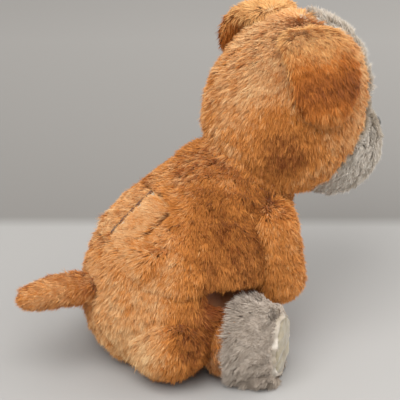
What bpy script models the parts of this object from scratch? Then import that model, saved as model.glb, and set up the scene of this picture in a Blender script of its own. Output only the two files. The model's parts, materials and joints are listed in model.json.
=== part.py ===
"""Interactive plush puppy, sitting: plush skins over a plastic mechanism.

The head turns on a geared neck, the jaw, the ears and the arms swing, the tail wags on a geared arm,
and two plush flaps on the back open over the battery tray.
The puppy faces -Y and its right side is at -X. Lengths are in metres, angles in degrees.
"""

import math

import bmesh
import bpy
from mathutils import Matrix, Vector

# ---------------------------------------------------------------- driving sizes

SEAT_GAP = 0.0003  # between two pieces that rest on each other
SOFT_GAP = 0.0004  # between two sewn plush pieces
RUN_GAP = 0.0010  # between a plush piece and one that moves past it
SHAFT_GAP = 0.00012  # radial, between a shaft and its bore
SPREAD = 0.2  # how far cutters run past the faces that they cut

# torso: height, back, front and half width of each section
TORSO_SECTIONS = (
    (0.000, 0.068, -0.020, 0.050),
    (0.020, 0.086, -0.038, 0.064),
    (0.045, 0.096, -0.057, 0.070),
    (0.068, 0.096, -0.071, 0.070),
    (0.092, 0.092, -0.081, 0.070),
    (0.118, 0.078, -0.087, 0.069),
    (0.143, 0.047, -0.085, 0.053),
    (0.167, 0.012, -0.075, 0.040),
)
TORSO_BOTTOM = (0.024, -0.003)  # Y and Z of the lower end of the form
TORSO_TOP = (-0.034, 0.194)

# head: a spheroid about the neck's axis, with a raised crown
HEAD_CENTRE = Vector((0, -0.084, 0.204))
NECK_LEAN = 28
HEAD_RADIUS = 0.0665
HEAD_HALF_HEIGHT = 0.0725
HEAD_CROWN = 1.10
HEAD_BROW = 0.12  # how far the crown leans forward, as a share of its height
CUP_GAP = 0.0015

MOUTH_HEIGHT = 0.1505
MUZZLE_CENTRE = Vector((0, -0.131, MOUTH_HEIGHT + 0.0135))
MUZZLE_SIZE = Vector((0.041, 0.042, 0.043))
# half width and height above the head's centre of the blaze's corners, from the muzzle up to the crown
BLAZE_CORNERS = ((0.041, -0.040), (0.034, 0.012), (0.008, 0.066))
BLAZE_DEPTH = 0.009
BLAZE_REACH = 0.026  # in front of the head's centre, where the blaze ends on the crown
CHIN_HALF_WIDTH = 0.0185
CHIN_SETBACK = 0.003
JAW_PIVOT = Vector((0, -0.102, MOUTH_HEIGHT - 0.0005))
SNOUT_BOTTOM = MOUTH_HEIGHT + 0.0040
SNOUT_TOP = SNOUT_BOTTOM + 0.0175
SNOUT_FRONT = MUZZLE_CENTRE.y - 0.0190
SNOUT_REAR = HEAD_CENTRE.y - 0.0140
COIL_Y = SNOUT_FRONT + 0.0170
COIL_DEPTH = 0.0030  # how far the coil sits in the snout
TONGUE_TOP = MOUTH_HEIGHT - 0.0023
NOSE_STEM_RADIUS = 0.0022
NOSE_STEM_HEIGHT = SNOUT_TOP - 0.0040

EYE_RADIUS = 0.0085
EYE_DIRECTION = (0.39, -0.915, 0.10)
EYE_STEM_RADIUS = 0.0025
NOSE_SIZE = Vector((0.0095, 0.0060, 0.0070))
NOSE_ANGLE = 16

EAR_PIVOT = Vector((0.026, -0.085, 0.2745))
EAR_THICKNESS = 0.0145
EAR_LIFT = 45

ARM_PIVOT = Vector((0.0520, -0.0500, 0.1270))
ARM_RADIUS = 0.0180
ARM_PAW = Vector((0.042, -0.0605, 0.065))
ARM_PAW_RADIUS = 0.0205
ARM_SWING = 18  # how far the arm swings forward
ARM_GAP = 0.0009
ROOM_FULLNESS = 0.32  # how much of its travel the arm's room is wider by

THIGH_CENTRE = Vector((0.045, 0.043, 0.036))
THIGH_SIZE = Vector((0.037, 0.035, 0.033))
LEG_SPLAY = 42
SOLE_CENTRE = Vector((0.092, -0.040, 0.0335))
FOOT_LENGTH = 0.039
SHIN_LENGTH = 0.028
FOOT_HALF_WIDTH = 0.032
FOOT_HALF_HEIGHT = 0.036
PAD_HALF_WIDTH = 0.0235
PAD_HALF_HEIGHT = 0.0265
PAD_THICKNESS = 0.006

HOUSING_DECK = 0.096
HOUSING_SPLIT = HOUSING_DECK - 0.008  # the joint between the housing's base and its lid
TAIL_PIVOT = Vector((0, 0.076, HOUSING_SPLIT - 0.013))
TAIL_ROOT = 0.0240  # from the pivot to the root of the plush
TAIL_LENGTH = 0.055
TAIL_RADIUS = 0.0110
TAIL_SWING = 20

# back opening: a frame tilted to the slope of the back
OPENING_CENTRE = Vector((0, 0.0560, 0.1352))
OPENING_SLOPE = 39.0
OPENING_HALF_WIDTH = 0.0265
OPENING_HALF_LENGTH = 0.0245
FLAP_DEPTH = 0.0115
FLAP_AXIS_DEPTH = 0.0040  # the flap's hinge below the crown of the back
FLAP_FOLD_RADIUS = 0.0042  # the groove that the flap's hinged edge turns in
STRIP_WIDTH = 0.0040
STRIP_DEPTH = 0.0035

# housing of the torso
WALL = 0.0022
HOUSING_HALF_WIDTH = 0.0315
HOUSING_FRONT = -0.028
HOUSING_BACK = 0.0665
HOUSING_BOTTOM = 0.040
DECK_RISE = 0.016  # the battery tray above the deck
SCREW_RADIUS = 0.0012
SCREW_HEAD_RADIUS = 0.0028
SCREW_SHOULDER = HOUSING_SPLIT - 0.0102
BOSS_RADIUS = 0.0042

CELL_RADIUS = 0.00725
CELL_LENGTH = 0.0505
CELL_COUNT = 3
CELL_PITCH = 0.0150
TRAY_CENTRE_Y = 0.037
CONTACT_THICKNESS = 0.0006
CONTACT_BUMP = 0.0012
DOOR_THICKNESS = 0.0024
DOOR_TRAVEL = 0.009
DOOR_LIP = 0.0016
SWITCH_TRAVEL = 0.004
SWITCH_CENTRE = Vector((0.0, 0.0070, 0.0))

BOARD_THICKNESS = 0.0016
STANDOFF_HEIGHT = 0.003
SPEAKER_RADIUS = 0.0175
SPEAKER_DEPTH = 0.009
SPEAKER_HEIGHT = 0.0630

# neck drive, along the neck's axis below the head's centre
SKULL_RADIUS = 0.048
SKULL_WALL = 0.0022
SKULL_STEPS = 16
SKULL_RINGS = 10
NECK_RADIUS = 0.008
NECK_FLANGE_RADIUS = 0.014
NECK_COLLAR_RADIUS = 0.0125
GEAR_MODULE = 0.001
GEAR_THICKNESS = 0.005
NECK_GEAR_TEETH = 24
NECK_PINION_TEETH = 12
CAN_RADIUS = 0.0300
CAN_TOP = 0.0775
CAN_HEIGHT = 0.0385
COVER_THICKNESS = 0.0025
MOTOR_RADIUS = 0.009
MOTOR_SHAFT_RADIUS = 0.001

TAIL_GEAR_TEETH = 32
TAIL_PINION_TEETH = 12
TAIL_SECTOR_HALF = 62
TAIL_SECTOR_REACH = 0.0110  # behind the pivot, with the tail turned to its stop
TAIL_ROD_RADIUS = 0.003
TAIL_PIN_RADIUS = 0.0015
PIN_HEAD = 0.0012
BRACKET_GAP = 0.008
BRACKET_THICKNESS = 0.0027

JAW_PIN_RADIUS = 0.0012
JAW_HUB_RADIUS = 0.0042
SNOUT_HALF_WIDTH = 0.012
COIL_RADIUS = 0.0055
HEAD_BUTTON_RADIUS = 0.0045
HEAD_BUTTON_HEIGHT = 0.003

SMOOTH_ANGLE = math.radians(40)

# ---------------------------------------------------------------- scene and materials

for old in list(bpy.data.objects):
    bpy.data.objects.remove(old, do_unlink=True)

PUPPY = bpy.data.collections.new("interactive_plush_pet")
GUIDES = bpy.data.collections.new("guides")
bpy.context.scene.collection.children.link(PUPPY)
bpy.context.scene.collection.children.link(GUIDES)


def paint(name, colour, roughness, metallic=0.0):
    """Returns a Principled material; colour is linear red, green and blue."""
    material = bpy.data.materials.new(name)
    material.use_nodes = True
    shader = material.node_tree.nodes["Principled BSDF"]
    shader.inputs["Base Color"].default_value = (*colour, 1)
    shader.inputs["Roughness"].default_value = roughness
    shader.inputs["Metallic"].default_value = metallic
    material.diffuse_color = (*colour, 1)
    return material


GOLD_PLUSH = (0.60, 0.26, 0.075)
PALE_PLUSH = (0.47, 0.40, 0.33)
SOLE_SATIN = (0.50, 0.42, 0.32)
CREAM_TAPE = (0.70, 0.62, 0.47)
BROWN_TAPE = (0.08, 0.045, 0.025)
GREY_PLASTIC = (0.22, 0.22, 0.22)
DARK_PLASTIC = (0.03, 0.03, 0.032)
WHITE_PLASTIC = (0.75, 0.74, 0.70)
AMBER_EYE = (0.035, 0.012, 0.005)
BOARD_GREEN = (0.02, 0.12, 0.05)
STEEL = (0.55, 0.55, 0.56)
BRASS = (0.60, 0.42, 0.14)
CELL_WRAP = (0.10, 0.12, 0.16)


def fur(name):
    return paint(name, GOLD_PLUSH, 0.95)


def pale_fur(name):
    return paint(name, PALE_PLUSH, 0.95)


def plastic(name, colour=GREY_PLASTIC):
    return paint(name, colour, 0.45)


def metal(name, colour=STEEL):
    return paint(name, colour, 0.3, 1.0)


# ---------------------------------------------------------------- modelling helpers


def add_object(name, mesh, material=None):
    """Adds a mesh as a piece when it has a material, and as a guide when it has none."""
    piece = bpy.data.objects.new(name, mesh)
    if material is None:
        GUIDES.objects.link(piece)
        piece.hide_render = True
        piece.display_type = "WIRE"
    else:
        PUPPY.objects.link(piece)
        mesh.materials.append(material)
    return piece


def finish(bm, name, material=None, frame=None):
    """Turns a bmesh into an object placed by the frame."""
    bmesh.ops.recalc_face_normals(bm, faces=bm.faces)
    mesh = bpy.data.meshes.new(name)
    bm.to_mesh(mesh)
    bm.free()
    mesh.shade_smooth()
    mesh.set_sharp_from_angle(angle=SMOOTH_ANGLE)
    piece = add_object(name, mesh, material)
    if frame is not None:
        piece.matrix_world = frame
    return piece


def block(name, low, high, material=None, frame=None, radius=0.0):
    """A box between two corners, with its edges rounded by radius."""
    bm = bmesh.new()
    bmesh.ops.create_cube(bm, size=1)
    low = Vector(low)
    high = Vector(high)
    size = high - low
    bmesh.ops.scale(bm, vec=size, verts=bm.verts)
    bmesh.ops.translate(bm, vec=(low + high) / 2, verts=bm.verts)
    piece = finish(bm, name, material, frame)
    if radius:
        rounding = piece.modifiers.new("rounding", "BEVEL")
        rounding.width = min(radius, 0.45 * min(size))
        rounding.segments = 2
        rounding.limit_method = "ANGLE"
    return piece


def rod(name, radius, start, end, material=None, frame=None, sides=20, end_radius=None):
    """A cylinder or cone from start to end."""
    start = Vector(start)
    end = Vector(end)
    along = end - start
    turn = along.to_track_quat("Z", "Y").to_matrix().to_4x4()
    place = Matrix.Translation((start + end) / 2) @ turn
    bm = bmesh.new()
    bmesh.ops.create_cone(
        bm,
        cap_ends=True,
        segments=sides,
        radius1=radius,
        radius2=radius if end_radius is None else end_radius,
        depth=along.length,
        matrix=place,
    )
    return finish(bm, name, material, frame)


def ball(name, centre, size, material=None, frame=None, segments=24, rings=14):
    """An ellipsoid with the half sizes in size."""
    bm = bmesh.new()
    bmesh.ops.create_uvsphere(bm, u_segments=segments, v_segments=rings, radius=1)
    bmesh.ops.scale(bm, vec=Vector(size), verts=bm.verts)
    bmesh.ops.translate(bm, vec=Vector(centre), verts=bm.verts)
    return finish(bm, name, material, frame)


def turned(name, profile, material=None, frame=None, steps=20, ring=False):
    """A profile of (radius, height) points turned about Z; it runs down its outer side.

    The profile of a ring closes on itself, and any other starts and ends on the axis.
    """
    bm = bmesh.new()
    points = [bm.verts.new((radius, 0, height)) for radius, height in profile]
    following = points[1:] + points[:1] if ring else points[1:]
    for first, second in zip(points, following):
        bm.edges.new((first, second))
    mesh = bpy.data.meshes.new(name)
    bm.to_mesh(mesh)
    bm.free()
    piece = add_object(name, mesh, material)
    if frame is not None:
        piece.matrix_world = frame
    screw = piece.modifiers.new("turning", "SCREW")
    screw.steps = steps
    screw.render_steps = steps
    screw.use_merge_vertices = True
    screw.merge_threshold = 0.00001
    return piece


def plate(name, outline, low, high, material=None, frame=None):
    """A flat outline of (x, y) points, as thick as from low to high along Z."""
    bm = bmesh.new()
    face = bm.faces.new([bm.verts.new((x, y, low)) for x, y in outline])
    grown = bmesh.ops.extrude_face_region(bm, geom=[face])["geom"]
    top = [item for item in grown if isinstance(item, bmesh.types.BMVert)]
    bmesh.ops.translate(bm, vec=(0, 0, high - low), verts=top)
    return finish(bm, name, material, frame)


def loft(name, rings, ends, sides=8, levels=1):
    """A soft form: rings of (centre, half axis, other half axis) between two end points."""
    swell = 6 / (4 + 2 * math.cos(math.tau / sides))  # what Subdivision Surface takes off a ring
    bm = bmesh.new()
    loops = []
    for centre, across, along in rings:
        loop = []
        for step in range(sides):
            angle = math.tau * (step + 0.5) / sides
            place = centre + swell * (across * math.cos(angle) + along * math.sin(angle))
            loop.append(bm.verts.new(place))
        loops.append(loop)
    for lower, upper in zip(loops, loops[1:]):
        for step in range(sides):
            after = (step + 1) % sides
            bm.faces.new((lower[step], lower[after], upper[after], upper[step]))
    for loop, end in ((loops[0], ends[0]), (loops[-1], ends[1])):
        pole = bm.verts.new(end)
        for step in range(sides):
            bm.faces.new((loop[step], loop[(step + 1) % sides], pole))
    form = finish(bm, name)
    form.data.shade_smooth()
    soften(form, levels)
    return form


def soften(form, levels):
    subdivision = form.modifiers.new("softening", "SUBSURF")
    subdivision.levels = levels
    subdivision.render_levels = levels


def piece_of(form, name, material):
    """A piece with the form's mesh, modifiers and place."""
    piece = form.copy()
    piece.data = form.data.copy()
    piece.name = name
    piece.data.name = name
    piece.hide_render = False
    piece.display_type = "TEXTURED"
    PUPPY.objects.link(piece)
    piece.data.materials.append(material)
    return piece


def grown(form, gap):
    """A guide with the form's shape, larger by gap on every side."""
    guide = form.copy()
    guide.name = form.name + "_grown"
    guide.hide_render = True
    guide.display_type = "WIRE"
    GUIDES.objects.link(guide)
    swell = guide.modifiers.new("clearance", "DISPLACE")
    swell.mid_level = 0
    swell.strength = gap
    return guide


def combine(piece, other, operation):
    step = piece.modifiers.new(f"{operation.lower()}_{other.name}", "BOOLEAN")
    step.operation = operation
    step.object = other
    step.solver = "EXACT"


def cut(piece, *others):
    for other in others:
        combine(piece, other, "DIFFERENCE")


def join(piece, *others):
    for other in others:
        combine(piece, other, "UNION")


def keep(piece, *others):
    for other in others:
        combine(piece, other, "INTERSECT")


def axis_empty(name, frame):
    """An empty on a joint's axis, for the pieces that move with it."""
    empty = bpy.data.objects.new(name, None)
    empty.empty_display_size = 0.01
    PUPPY.objects.link(empty)
    empty.matrix_world = frame
    bpy.context.view_layer.update()
    return empty


def hang(empty, *pieces):
    """Parents pieces to an empty without moving them."""
    for piece in pieces:
        piece.parent = empty
        piece.matrix_parent_inverse = empty.matrix_world.inverted()


def mirrored(point, side):
    return Vector((side * point[0], point[1], point[2]))


def turn_x(degrees):
    return Matrix.Rotation(math.radians(degrees), 4, "X")


def gear_outline(teeth, centre_angle=0.0, half_span=180.0, addendum=0.9, dedendum=1.15):
    """Involute teeth with a 20 degree pressure angle; off the span the rim is plain.

    Angles are in degrees. A tooth's middle lies at centre_angle.
    """
    pitch = teeth * GEAR_MODULE / 2
    base = pitch * math.cos(math.radians(20))
    tip = pitch + addendum * GEAR_MODULE
    root = pitch - dedendum * GEAR_MODULE
    involute = math.tan(math.radians(20)) - math.radians(20)
    backlash = 0.0002
    half_tooth = math.pi / (2 * teeth) - backlash / (2 * pitch)
    flank_start = max(base, root)
    outline = []
    for tooth in range(teeth):
        turn = math.tau * tooth / teeth
        centre = turn + math.radians(centre_angle)
        if min(turn, math.tau - turn) > math.radians(half_span):
            outline.append((root * math.cos(centre), root * math.sin(centre)))
            continue
        flank = [(root, half_tooth + involute)] if root < base else []
        for radius in (flank_start, tip):
            roll = math.acos(min(1.0, base / radius))
            flank.append((radius, half_tooth + involute - math.tan(roll) + roll))
        for radius, angle in flank:
            outline.append((radius * math.cos(centre - angle), radius * math.sin(centre - angle)))
        for radius, angle in reversed(flank):
            outline.append((radius * math.cos(centre + angle), radius * math.sin(centre + angle)))
    return outline


# ---------------------------------------------------------------- frames

NECK = Matrix.Translation(HEAD_CENTRE) @ turn_x(NECK_LEAN)
JAW = Matrix.Translation(JAW_PIVOT)
TAIL = Matrix.Translation(TAIL_PIVOT)
OPENING = Matrix.Translation(OPENING_CENTRE) @ turn_x(-OPENING_SLOPE)
FLOOR = block("below_floor", (-SPREAD, -SPREAD, -SPREAD), (SPREAD, SPREAD, 0))

# ---------------------------------------------------------------- soft forms


def build_torso_form():
    rings = []
    for height, back, front, half_width in TORSO_SECTIONS:
        centre = Vector((0, (back + front) / 2, height))
        rings.append((centre, Vector((half_width, 0, 0)), Vector((0, (back - front) / 2, 0))))
    ends = (Vector((0, *TORSO_BOTTOM)), Vector((0, *TORSO_TOP)))
    return loft("torso_form", rings, ends, sides=12)


def build_head_form():
    bm = bmesh.new()
    bmesh.ops.create_uvsphere(bm, u_segments=22, v_segments=12, radius=1)
    bmesh.ops.scale(bm, vec=(HEAD_RADIUS, HEAD_RADIUS, HEAD_HALF_HEIGHT), verts=bm.verts)
    bmesh.ops.transform(bm, matrix=NECK, verts=bm.verts)
    for vert in bm.verts:
        lift = vert.co.z - HEAD_CENTRE.z
        if lift > 0:
            vert.co.z += (HEAD_CROWN - 1) * lift
            vert.co.y -= HEAD_BROW * lift
    return finish(bm, "head_form")


def leg_ring(side, along, half_width, half_height):
    """A ring across the leg, along metres from the sole towards the toes."""
    splay = math.radians(LEG_SPLAY)
    forward = Vector((side * math.sin(splay), -math.cos(splay), 0))
    across = Vector((math.cos(splay), side * math.sin(splay), 0))
    centre = mirrored(SOLE_CENTRE, side) + forward * along
    return centre, across * half_width, Vector((0, 0, half_height))


def build_leg_form(side, name):
    ankle = -FOOT_LENGTH
    knee = ankle - SHIN_LENGTH
    wide = FOOT_HALF_WIDTH
    tall = FOOT_HALF_HEIGHT
    rings = [
        leg_ring(side, knee, 0.72 * wide, 0.70 * tall),
        leg_ring(side, knee + 0.4 * SHIN_LENGTH, 0.92 * wide, 0.90 * tall),
        leg_ring(side, ankle, 0.95 * wide, 0.95 * tall),
        leg_ring(side, 0.55 * ankle, 1.02 * wide, 1.01 * tall),
        leg_ring(side, 0.2 * ankle, 1.0 * wide, tall),
        leg_ring(side, 0.0, 0.84 * wide, 0.84 * tall),
    ]
    ends = (leg_ring(side, knee - 0.006, 0, 0)[0], leg_ring(side, 0.001, 0, 0)[0])
    return loft(name, rings, ends, sides=10)


def build_arm_form(side, name, gap=0.0, swing=0.0):
    """An arm from the shoulder to the paw, or the room that it needs to swing forward by swing degrees."""
    top = mirrored(ARM_PIVOT, side)
    paw = mirrored(ARM_PAW, side)
    along = (paw - top).normalized()
    front = along.cross(Vector((1, 0, 0))).normalized()
    wide = front.cross(along).normalized()
    length = (paw - top).length

    def ring(share, radius):
        travel = max(share, 0) * length * math.sin(math.radians(swing)) / 2
        half_width = radius + gap + ROOM_FULLNESS * travel
        return top.lerp(paw, share) + front * travel, wide * half_width, front * (radius + gap + travel)

    cap = 0.75 * ARM_RADIUS / length
    toe = 0.86 if swing else 0.72
    rings = [
        ring(-cap, 0.62 * ARM_RADIUS),
        ring(0, ARM_RADIUS),
        ring(0.45, ARM_RADIUS),
        ring(0.78, 0.98 * ARM_PAW_RADIUS),
        ring(1.0, ARM_PAW_RADIUS),
        ring(1.16, toe * ARM_PAW_RADIUS),
    ]
    ends = (top - along * (ARM_RADIUS + gap), paw + along * (0.9 * ARM_PAW_RADIUS + 3 * gap))
    return loft(name, rings, ends)


def build_ear_form(side, name):
    """A thick flap that leaves the crown, folds over and hangs beside the head."""
    root = EAR_PIVOT
    # out from the pivot, down from it, half width along the head, share of the thickness, lean
    stations = (
        (0.006, -0.002, 0.021, 0.75, 80),
        (0.022, 0.000, 0.028, 1.0, 60),
        (0.0345, 0.015, 0.030, 1.0, 32),
        (0.0420, 0.033, 0.027, 0.95, 12),
        (0.0450, 0.049, 0.018, 0.80, 2),
    )
    rings = []
    for out, drop, half, share, lean in stations:
        centre = mirrored(root + Vector((out, 0, -drop)), side)
        tilt = math.radians(lean)
        outward = Vector((side * math.cos(tilt), 0, math.sin(tilt)))
        rings.append((centre, Vector((0, half, 0)), outward * (share * EAR_THICKNESS / 2)))
    ends = (
        mirrored(root + Vector((0.001, 0, 0.001)), side),
        mirrored(root + Vector((0.0455, 0, -0.060)), side),
    )
    return loft(name, rings, ends)


def build_tail_form():
    start = TAIL_PIVOT + Vector((0, TAIL_ROOT, 0))

    def ring(share, scale):
        centre = start + Vector((0, TAIL_LENGTH * share, 0.002 * math.sin(math.pi * share)))
        radius = TAIL_RADIUS * scale
        return centre, Vector((radius, 0, 0)), Vector((0, 0, radius))

    rings = [ring(0.02, 0.95), ring(0.12, 1.0), ring(0.40, 0.96), ring(0.70, 0.84), ring(0.92, 0.58)]
    ends = (start, start + Vector((0, TAIL_LENGTH, 0)))
    return loft("tail_form", rings, ends)


TORSO_FORM = build_torso_form()
HEAD_FORM = build_head_form()
MUZZLE_FORM = ball("muzzle_form", MUZZLE_CENTRE, MUZZLE_SIZE, segments=18, rings=10)
TAIL_FORM = build_tail_form()
SIDES = (("right", -1), ("left", 1))
ARM_FORMS = {name: build_arm_form(side, f"arm_form_{name}") for name, side in SIDES}
EAR_FORMS = {name: build_ear_form(side, f"ear_form_{name}") for name, side in SIDES}
LEG_FORMS = {name: build_leg_form(side, f"leg_form_{name}") for name, side in SIDES}
THIGH_FORMS = {
    name: ball(f"thigh_form_{name}", mirrored(THIGH_CENTRE, side), THIGH_SIZE, segments=18, rings=9)
    for name, side in SIDES
}

# ---------------------------------------------------------------- torso plush

CUP_FORM = ball(
    "cup_form",
    (0, 0, 0),
    (HEAD_RADIUS + CUP_GAP, HEAD_RADIUS + CUP_GAP, HEAD_HALF_HEIGHT + CUP_GAP),
    frame=NECK,
    segments=22,
    rings=12,
)
DECK_TOP = HOUSING_DECK + DECK_RISE
TRAY_FLOOR = DECK_TOP - 0.0040 - 2 * CELL_RADIUS - SEAT_GAP
TRAY_HALF_LENGTH = CELL_LENGTH / 2 + CONTACT_BUMP + CONTACT_THICKNESS + 2 * SEAT_GAP
TRAY_HALF_DEPTH = (CELL_COUNT - 1) / 2 * CELL_PITCH + CELL_RADIUS + SEAT_GAP
DOOR_BOTTOM = TRAY_FLOOR + 2 * CELL_RADIUS + 2 * SEAT_GAP
DOOR_HALF_DEPTH = TRAY_HALF_DEPTH + DOOR_LIP
CAN_BOTTOM = CAN_TOP + CAN_HEIGHT
TRAY_BACK = TRAY_CENTRE_Y + DOOR_HALF_DEPTH + WALL
TRAY_FRONT = SWITCH_CENTRE.y - 0.006


def build_torso():
    torso = piece_of(TORSO_FORM, "torso_plush", fur("torso_fur"))
    cut(torso, FLOOR, CUP_FORM)
    gap = 2 * SEAT_GAP
    wide = HOUSING_HALF_WIDTH + gap
    rooms = (
        ("housing_room", (-wide, HOUSING_FRONT - gap, HOUSING_BOTTOM - gap),
         (wide, HOUSING_BACK + gap, HOUSING_DECK + gap)),
        ("deck_room", (-wide, TRAY_FRONT - gap, HOUSING_DECK),
         (wide, TRAY_BACK + gap, DECK_TOP + gap)),
        ("door_room", (-wide - DOOR_TRAVEL, TRAY_CENTRE_Y - DOOR_HALF_DEPTH - gap, DOOR_BOTTOM - gap),
         (wide, TRAY_CENTRE_Y + DOOR_HALF_DEPTH + gap, DECK_TOP + gap)),
        ("switch_room", (-0.018, TRAY_FRONT + 0.0005, DECK_TOP),
         (0.018, TRAY_CENTRE_Y - 0.010, DECK_TOP + 0.009)),
        ("saddle_room", (-0.0150, HOUSING_FRONT - gap, HOUSING_DECK),
         (0.0150, TRAY_FRONT + gap, HOUSING_DECK + 0.025)),
    )
    for name, low, high in rooms:
        cut(torso, block(name, low, high))
    can = rod("can_room", CAN_RADIUS + gap, (0, 0, -CAN_TOP + gap), (0, 0, -CAN_BOTTOM - gap), frame=NECK,
              sides=24)
    neck = rod("neck_room", NECK_FLANGE_RADIUS + RUN_GAP, (0, 0, -0.05), (0, 0, -CAN_TOP - RUN_GAP),
               frame=NECK)
    mouth = block(
        "opening_room",
        (-OPENING_HALF_WIDTH, -OPENING_HALF_LENGTH, -0.0360),
        (OPENING_HALF_WIDTH, OPENING_HALF_LENGTH, 0.030),
        frame=OPENING,
    )
    slot_half = TAIL_GEAR_TEETH * GEAR_MODULE / 2 + 0.003
    slot_bottom = TAIL_PIVOT.z - BRACKET_GAP / 2 - BRACKET_THICKNESS - gap
    slot_top = TAIL_PIVOT.z + BRACKET_GAP / 2 + BRACKET_THICKNESS + PIN_HEAD + gap
    tail_slot = block("tail_room", (-0.0090, HOUSING_BACK - 0.0015, slot_bottom),
                      (0.0090, TAIL_PIVOT.y + 0.0085, slot_top))
    rod_half = TAIL_ROOT * math.sin(math.radians(TAIL_SWING)) + TAIL_ROD_RADIUS + SOFT_GAP
    rod_slot = block("tail_rod_room", (-rod_half, TAIL_PIVOT.y, TAIL_PIVOT.z - 0.0040),
                     (rod_half, TAIL_PIVOT.y + SPREAD, TAIL_PIVOT.z + 0.0040))
    sector_slot = block("tail_sector_room", (-slot_half, HOUSING_BACK - 0.0065, TAIL_PIVOT.z - 0.0040),
                        (slot_half, TAIL_PIVOT.y + TAIL_SECTOR_REACH, TAIL_PIVOT.z + 0.0040))
    cut(torso, can, neck, mouth, tail_slot, rod_slot, sector_slot)
    for name, side in SIDES:
        fold_x = side * OPENING_HALF_WIDTH
        cut(torso, rod(f"fold_room_{name}", FLAP_FOLD_RADIUS, (fold_x, -OPENING_HALF_LENGTH, -FLAP_AXIS_DEPTH),
                       (fold_x, OPENING_HALF_LENGTH, -FLAP_AXIS_DEPTH), frame=OPENING, sides=12))
        cut(torso, build_arm_form(side, f"arm_room_{name}", ARM_GAP, 1.25 * ARM_SWING))
    return torso


def build_legs():
    for name, side in SIDES:
        leg = LEG_FORMS[name]
        torso_wall = grown(TORSO_FORM, SOFT_GAP)
        thigh = piece_of(THIGH_FORMS[name], f"thigh_{name}", fur(f"thigh_fur_{name}"))
        cut(thigh, torso_wall, FLOOR)
        centre = leg_ring(side, -FOOT_LENGTH, 1, 1)[0]
        forward = leg_ring(side, 1, 1, 1)[0] - leg_ring(side, 0, 1, 1)[0]
        facing = forward.to_track_quat("Z", "Y").to_matrix().to_4x4()
        frame = Matrix.Translation(centre) @ facing
        half = SOFT_GAP / 2
        shin_side = block(f"shin_side_{name}", (-0.1, -0.1, -0.2), (0.1, 0.1, -half), frame=frame)
        foot_side = block(f"foot_side_{name}", (-0.1, -0.1, half), (0.1, 0.1, 0.2), frame=frame)
        shin = piece_of(leg, f"shin_{name}", fur(f"shin_fur_{name}"))
        keep(shin, shin_side)
        cut(shin, grown(THIGH_FORMS[name], SOFT_GAP), torso_wall, FLOOR)
        foot = piece_of(leg, f"hind_paw_{name}", pale_fur(f"hind_paw_fur_{name}"))
        keep(foot, foot_side)
        pad_frame = Matrix.Translation(leg_ring(side, 0, 1, 1)[0]) @ facing
        # the frame's X is along the ground and its Y is up or down
        pad_size = (PAD_HALF_WIDTH, PAD_HALF_HEIGHT, PAD_THICKNESS)
        pad_centre = (0, 0, -0.0035)
        if abs(facing.col[0].z) > 0.5:
            pad_size = (PAD_HALF_HEIGHT, PAD_HALF_WIDTH, PAD_THICKNESS)
        pad = ball(f"sole_pad_{name}", pad_centre, pad_size, paint(f"sole_{name}", SOLE_SATIN, 0.6),
                   pad_frame, segments=16, rings=6)
        pad_room = ball(f"sole_room_{name}", pad_centre, [size + SOFT_GAP for size in pad_size], None,
                        pad_frame, segments=16, rings=6)
        cut(foot, FLOOR, torso_wall, grown(THIGH_FORMS[name], SOFT_GAP), pad_room)
        cut(pad, FLOOR)


def build_arms():
    for name, side in SIDES:
        arm = piece_of(ARM_FORMS[name], f"arm_{name}", fur(f"arm_fur_{name}"))
        hang(axis_empty(f"arm_axis_{name}", Matrix.Translation(mirrored(ARM_PIVOT, side))), arm)


def build_back_opening():
    for name, side in SIDES:
        hinge_x = side * OPENING_HALF_WIDTH
        near = side * SOFT_GAP / 2
        far = side * (OPENING_HALF_WIDTH - SOFT_GAP)
        length = OPENING_HALF_LENGTH - SOFT_GAP
        strip_edge = side * (SOFT_GAP / 2 + STRIP_WIDTH)
        swing = rod(
            f"flap_swing_{name}",
            OPENING_HALF_WIDTH - SOFT_GAP,
            (hinge_x, -0.06, -FLAP_AXIS_DEPTH),
            (hinge_x, 0.06, -FLAP_AXIS_DEPTH),
            frame=OPENING,
            sides=48,
        )

        def slab(label, first, second, bottom, gap=0.0):
            low = (min(first, second), -length, bottom + gap)
            high = (max(first, second), length, 0.030)
            return block(f"{label}_{name}", low, high, frame=OPENING)

        flap = piece_of(TORSO_FORM, f"back_flap_{name}", fur(f"flap_fur_{name}"))
        keep(flap, slab("flap_room", near, far, -FLAP_DEPTH), swing)
        cut(flap, block(
            f"strip_room_{name}",
            (min(-side * 0.001, strip_edge + side * SOFT_GAP), -0.04, -STRIP_DEPTH - SOFT_GAP),
            (max(-side * 0.001, strip_edge + side * SOFT_GAP), 0.04, 0.030),
            frame=OPENING,
        ))
        colour = CREAM_TAPE if side < 0 else BROWN_TAPE
        strip = piece_of(TORSO_FORM, f"closure_strip_{name}", paint(f"tape_{name}", colour, 0.9))
        keep(strip, slab("strip_slab", near, strip_edge, -STRIP_DEPTH), swing)
        place = OPENING @ Matrix.Translation((hinge_x, 0, -FLAP_AXIS_DEPTH))
        hang(axis_empty(f"flap_axis_{name}", place), flap, strip)


# ---------------------------------------------------------------- housing and electronics


def screw_places():
    inset = BOSS_RADIUS + 0.4 * WALL
    for x in (-HOUSING_HALF_WIDTH + inset, HOUSING_HALF_WIDTH - inset):
        for y in (HOUSING_FRONT + inset, HOUSING_BACK - inset):
            yield x, y


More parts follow.
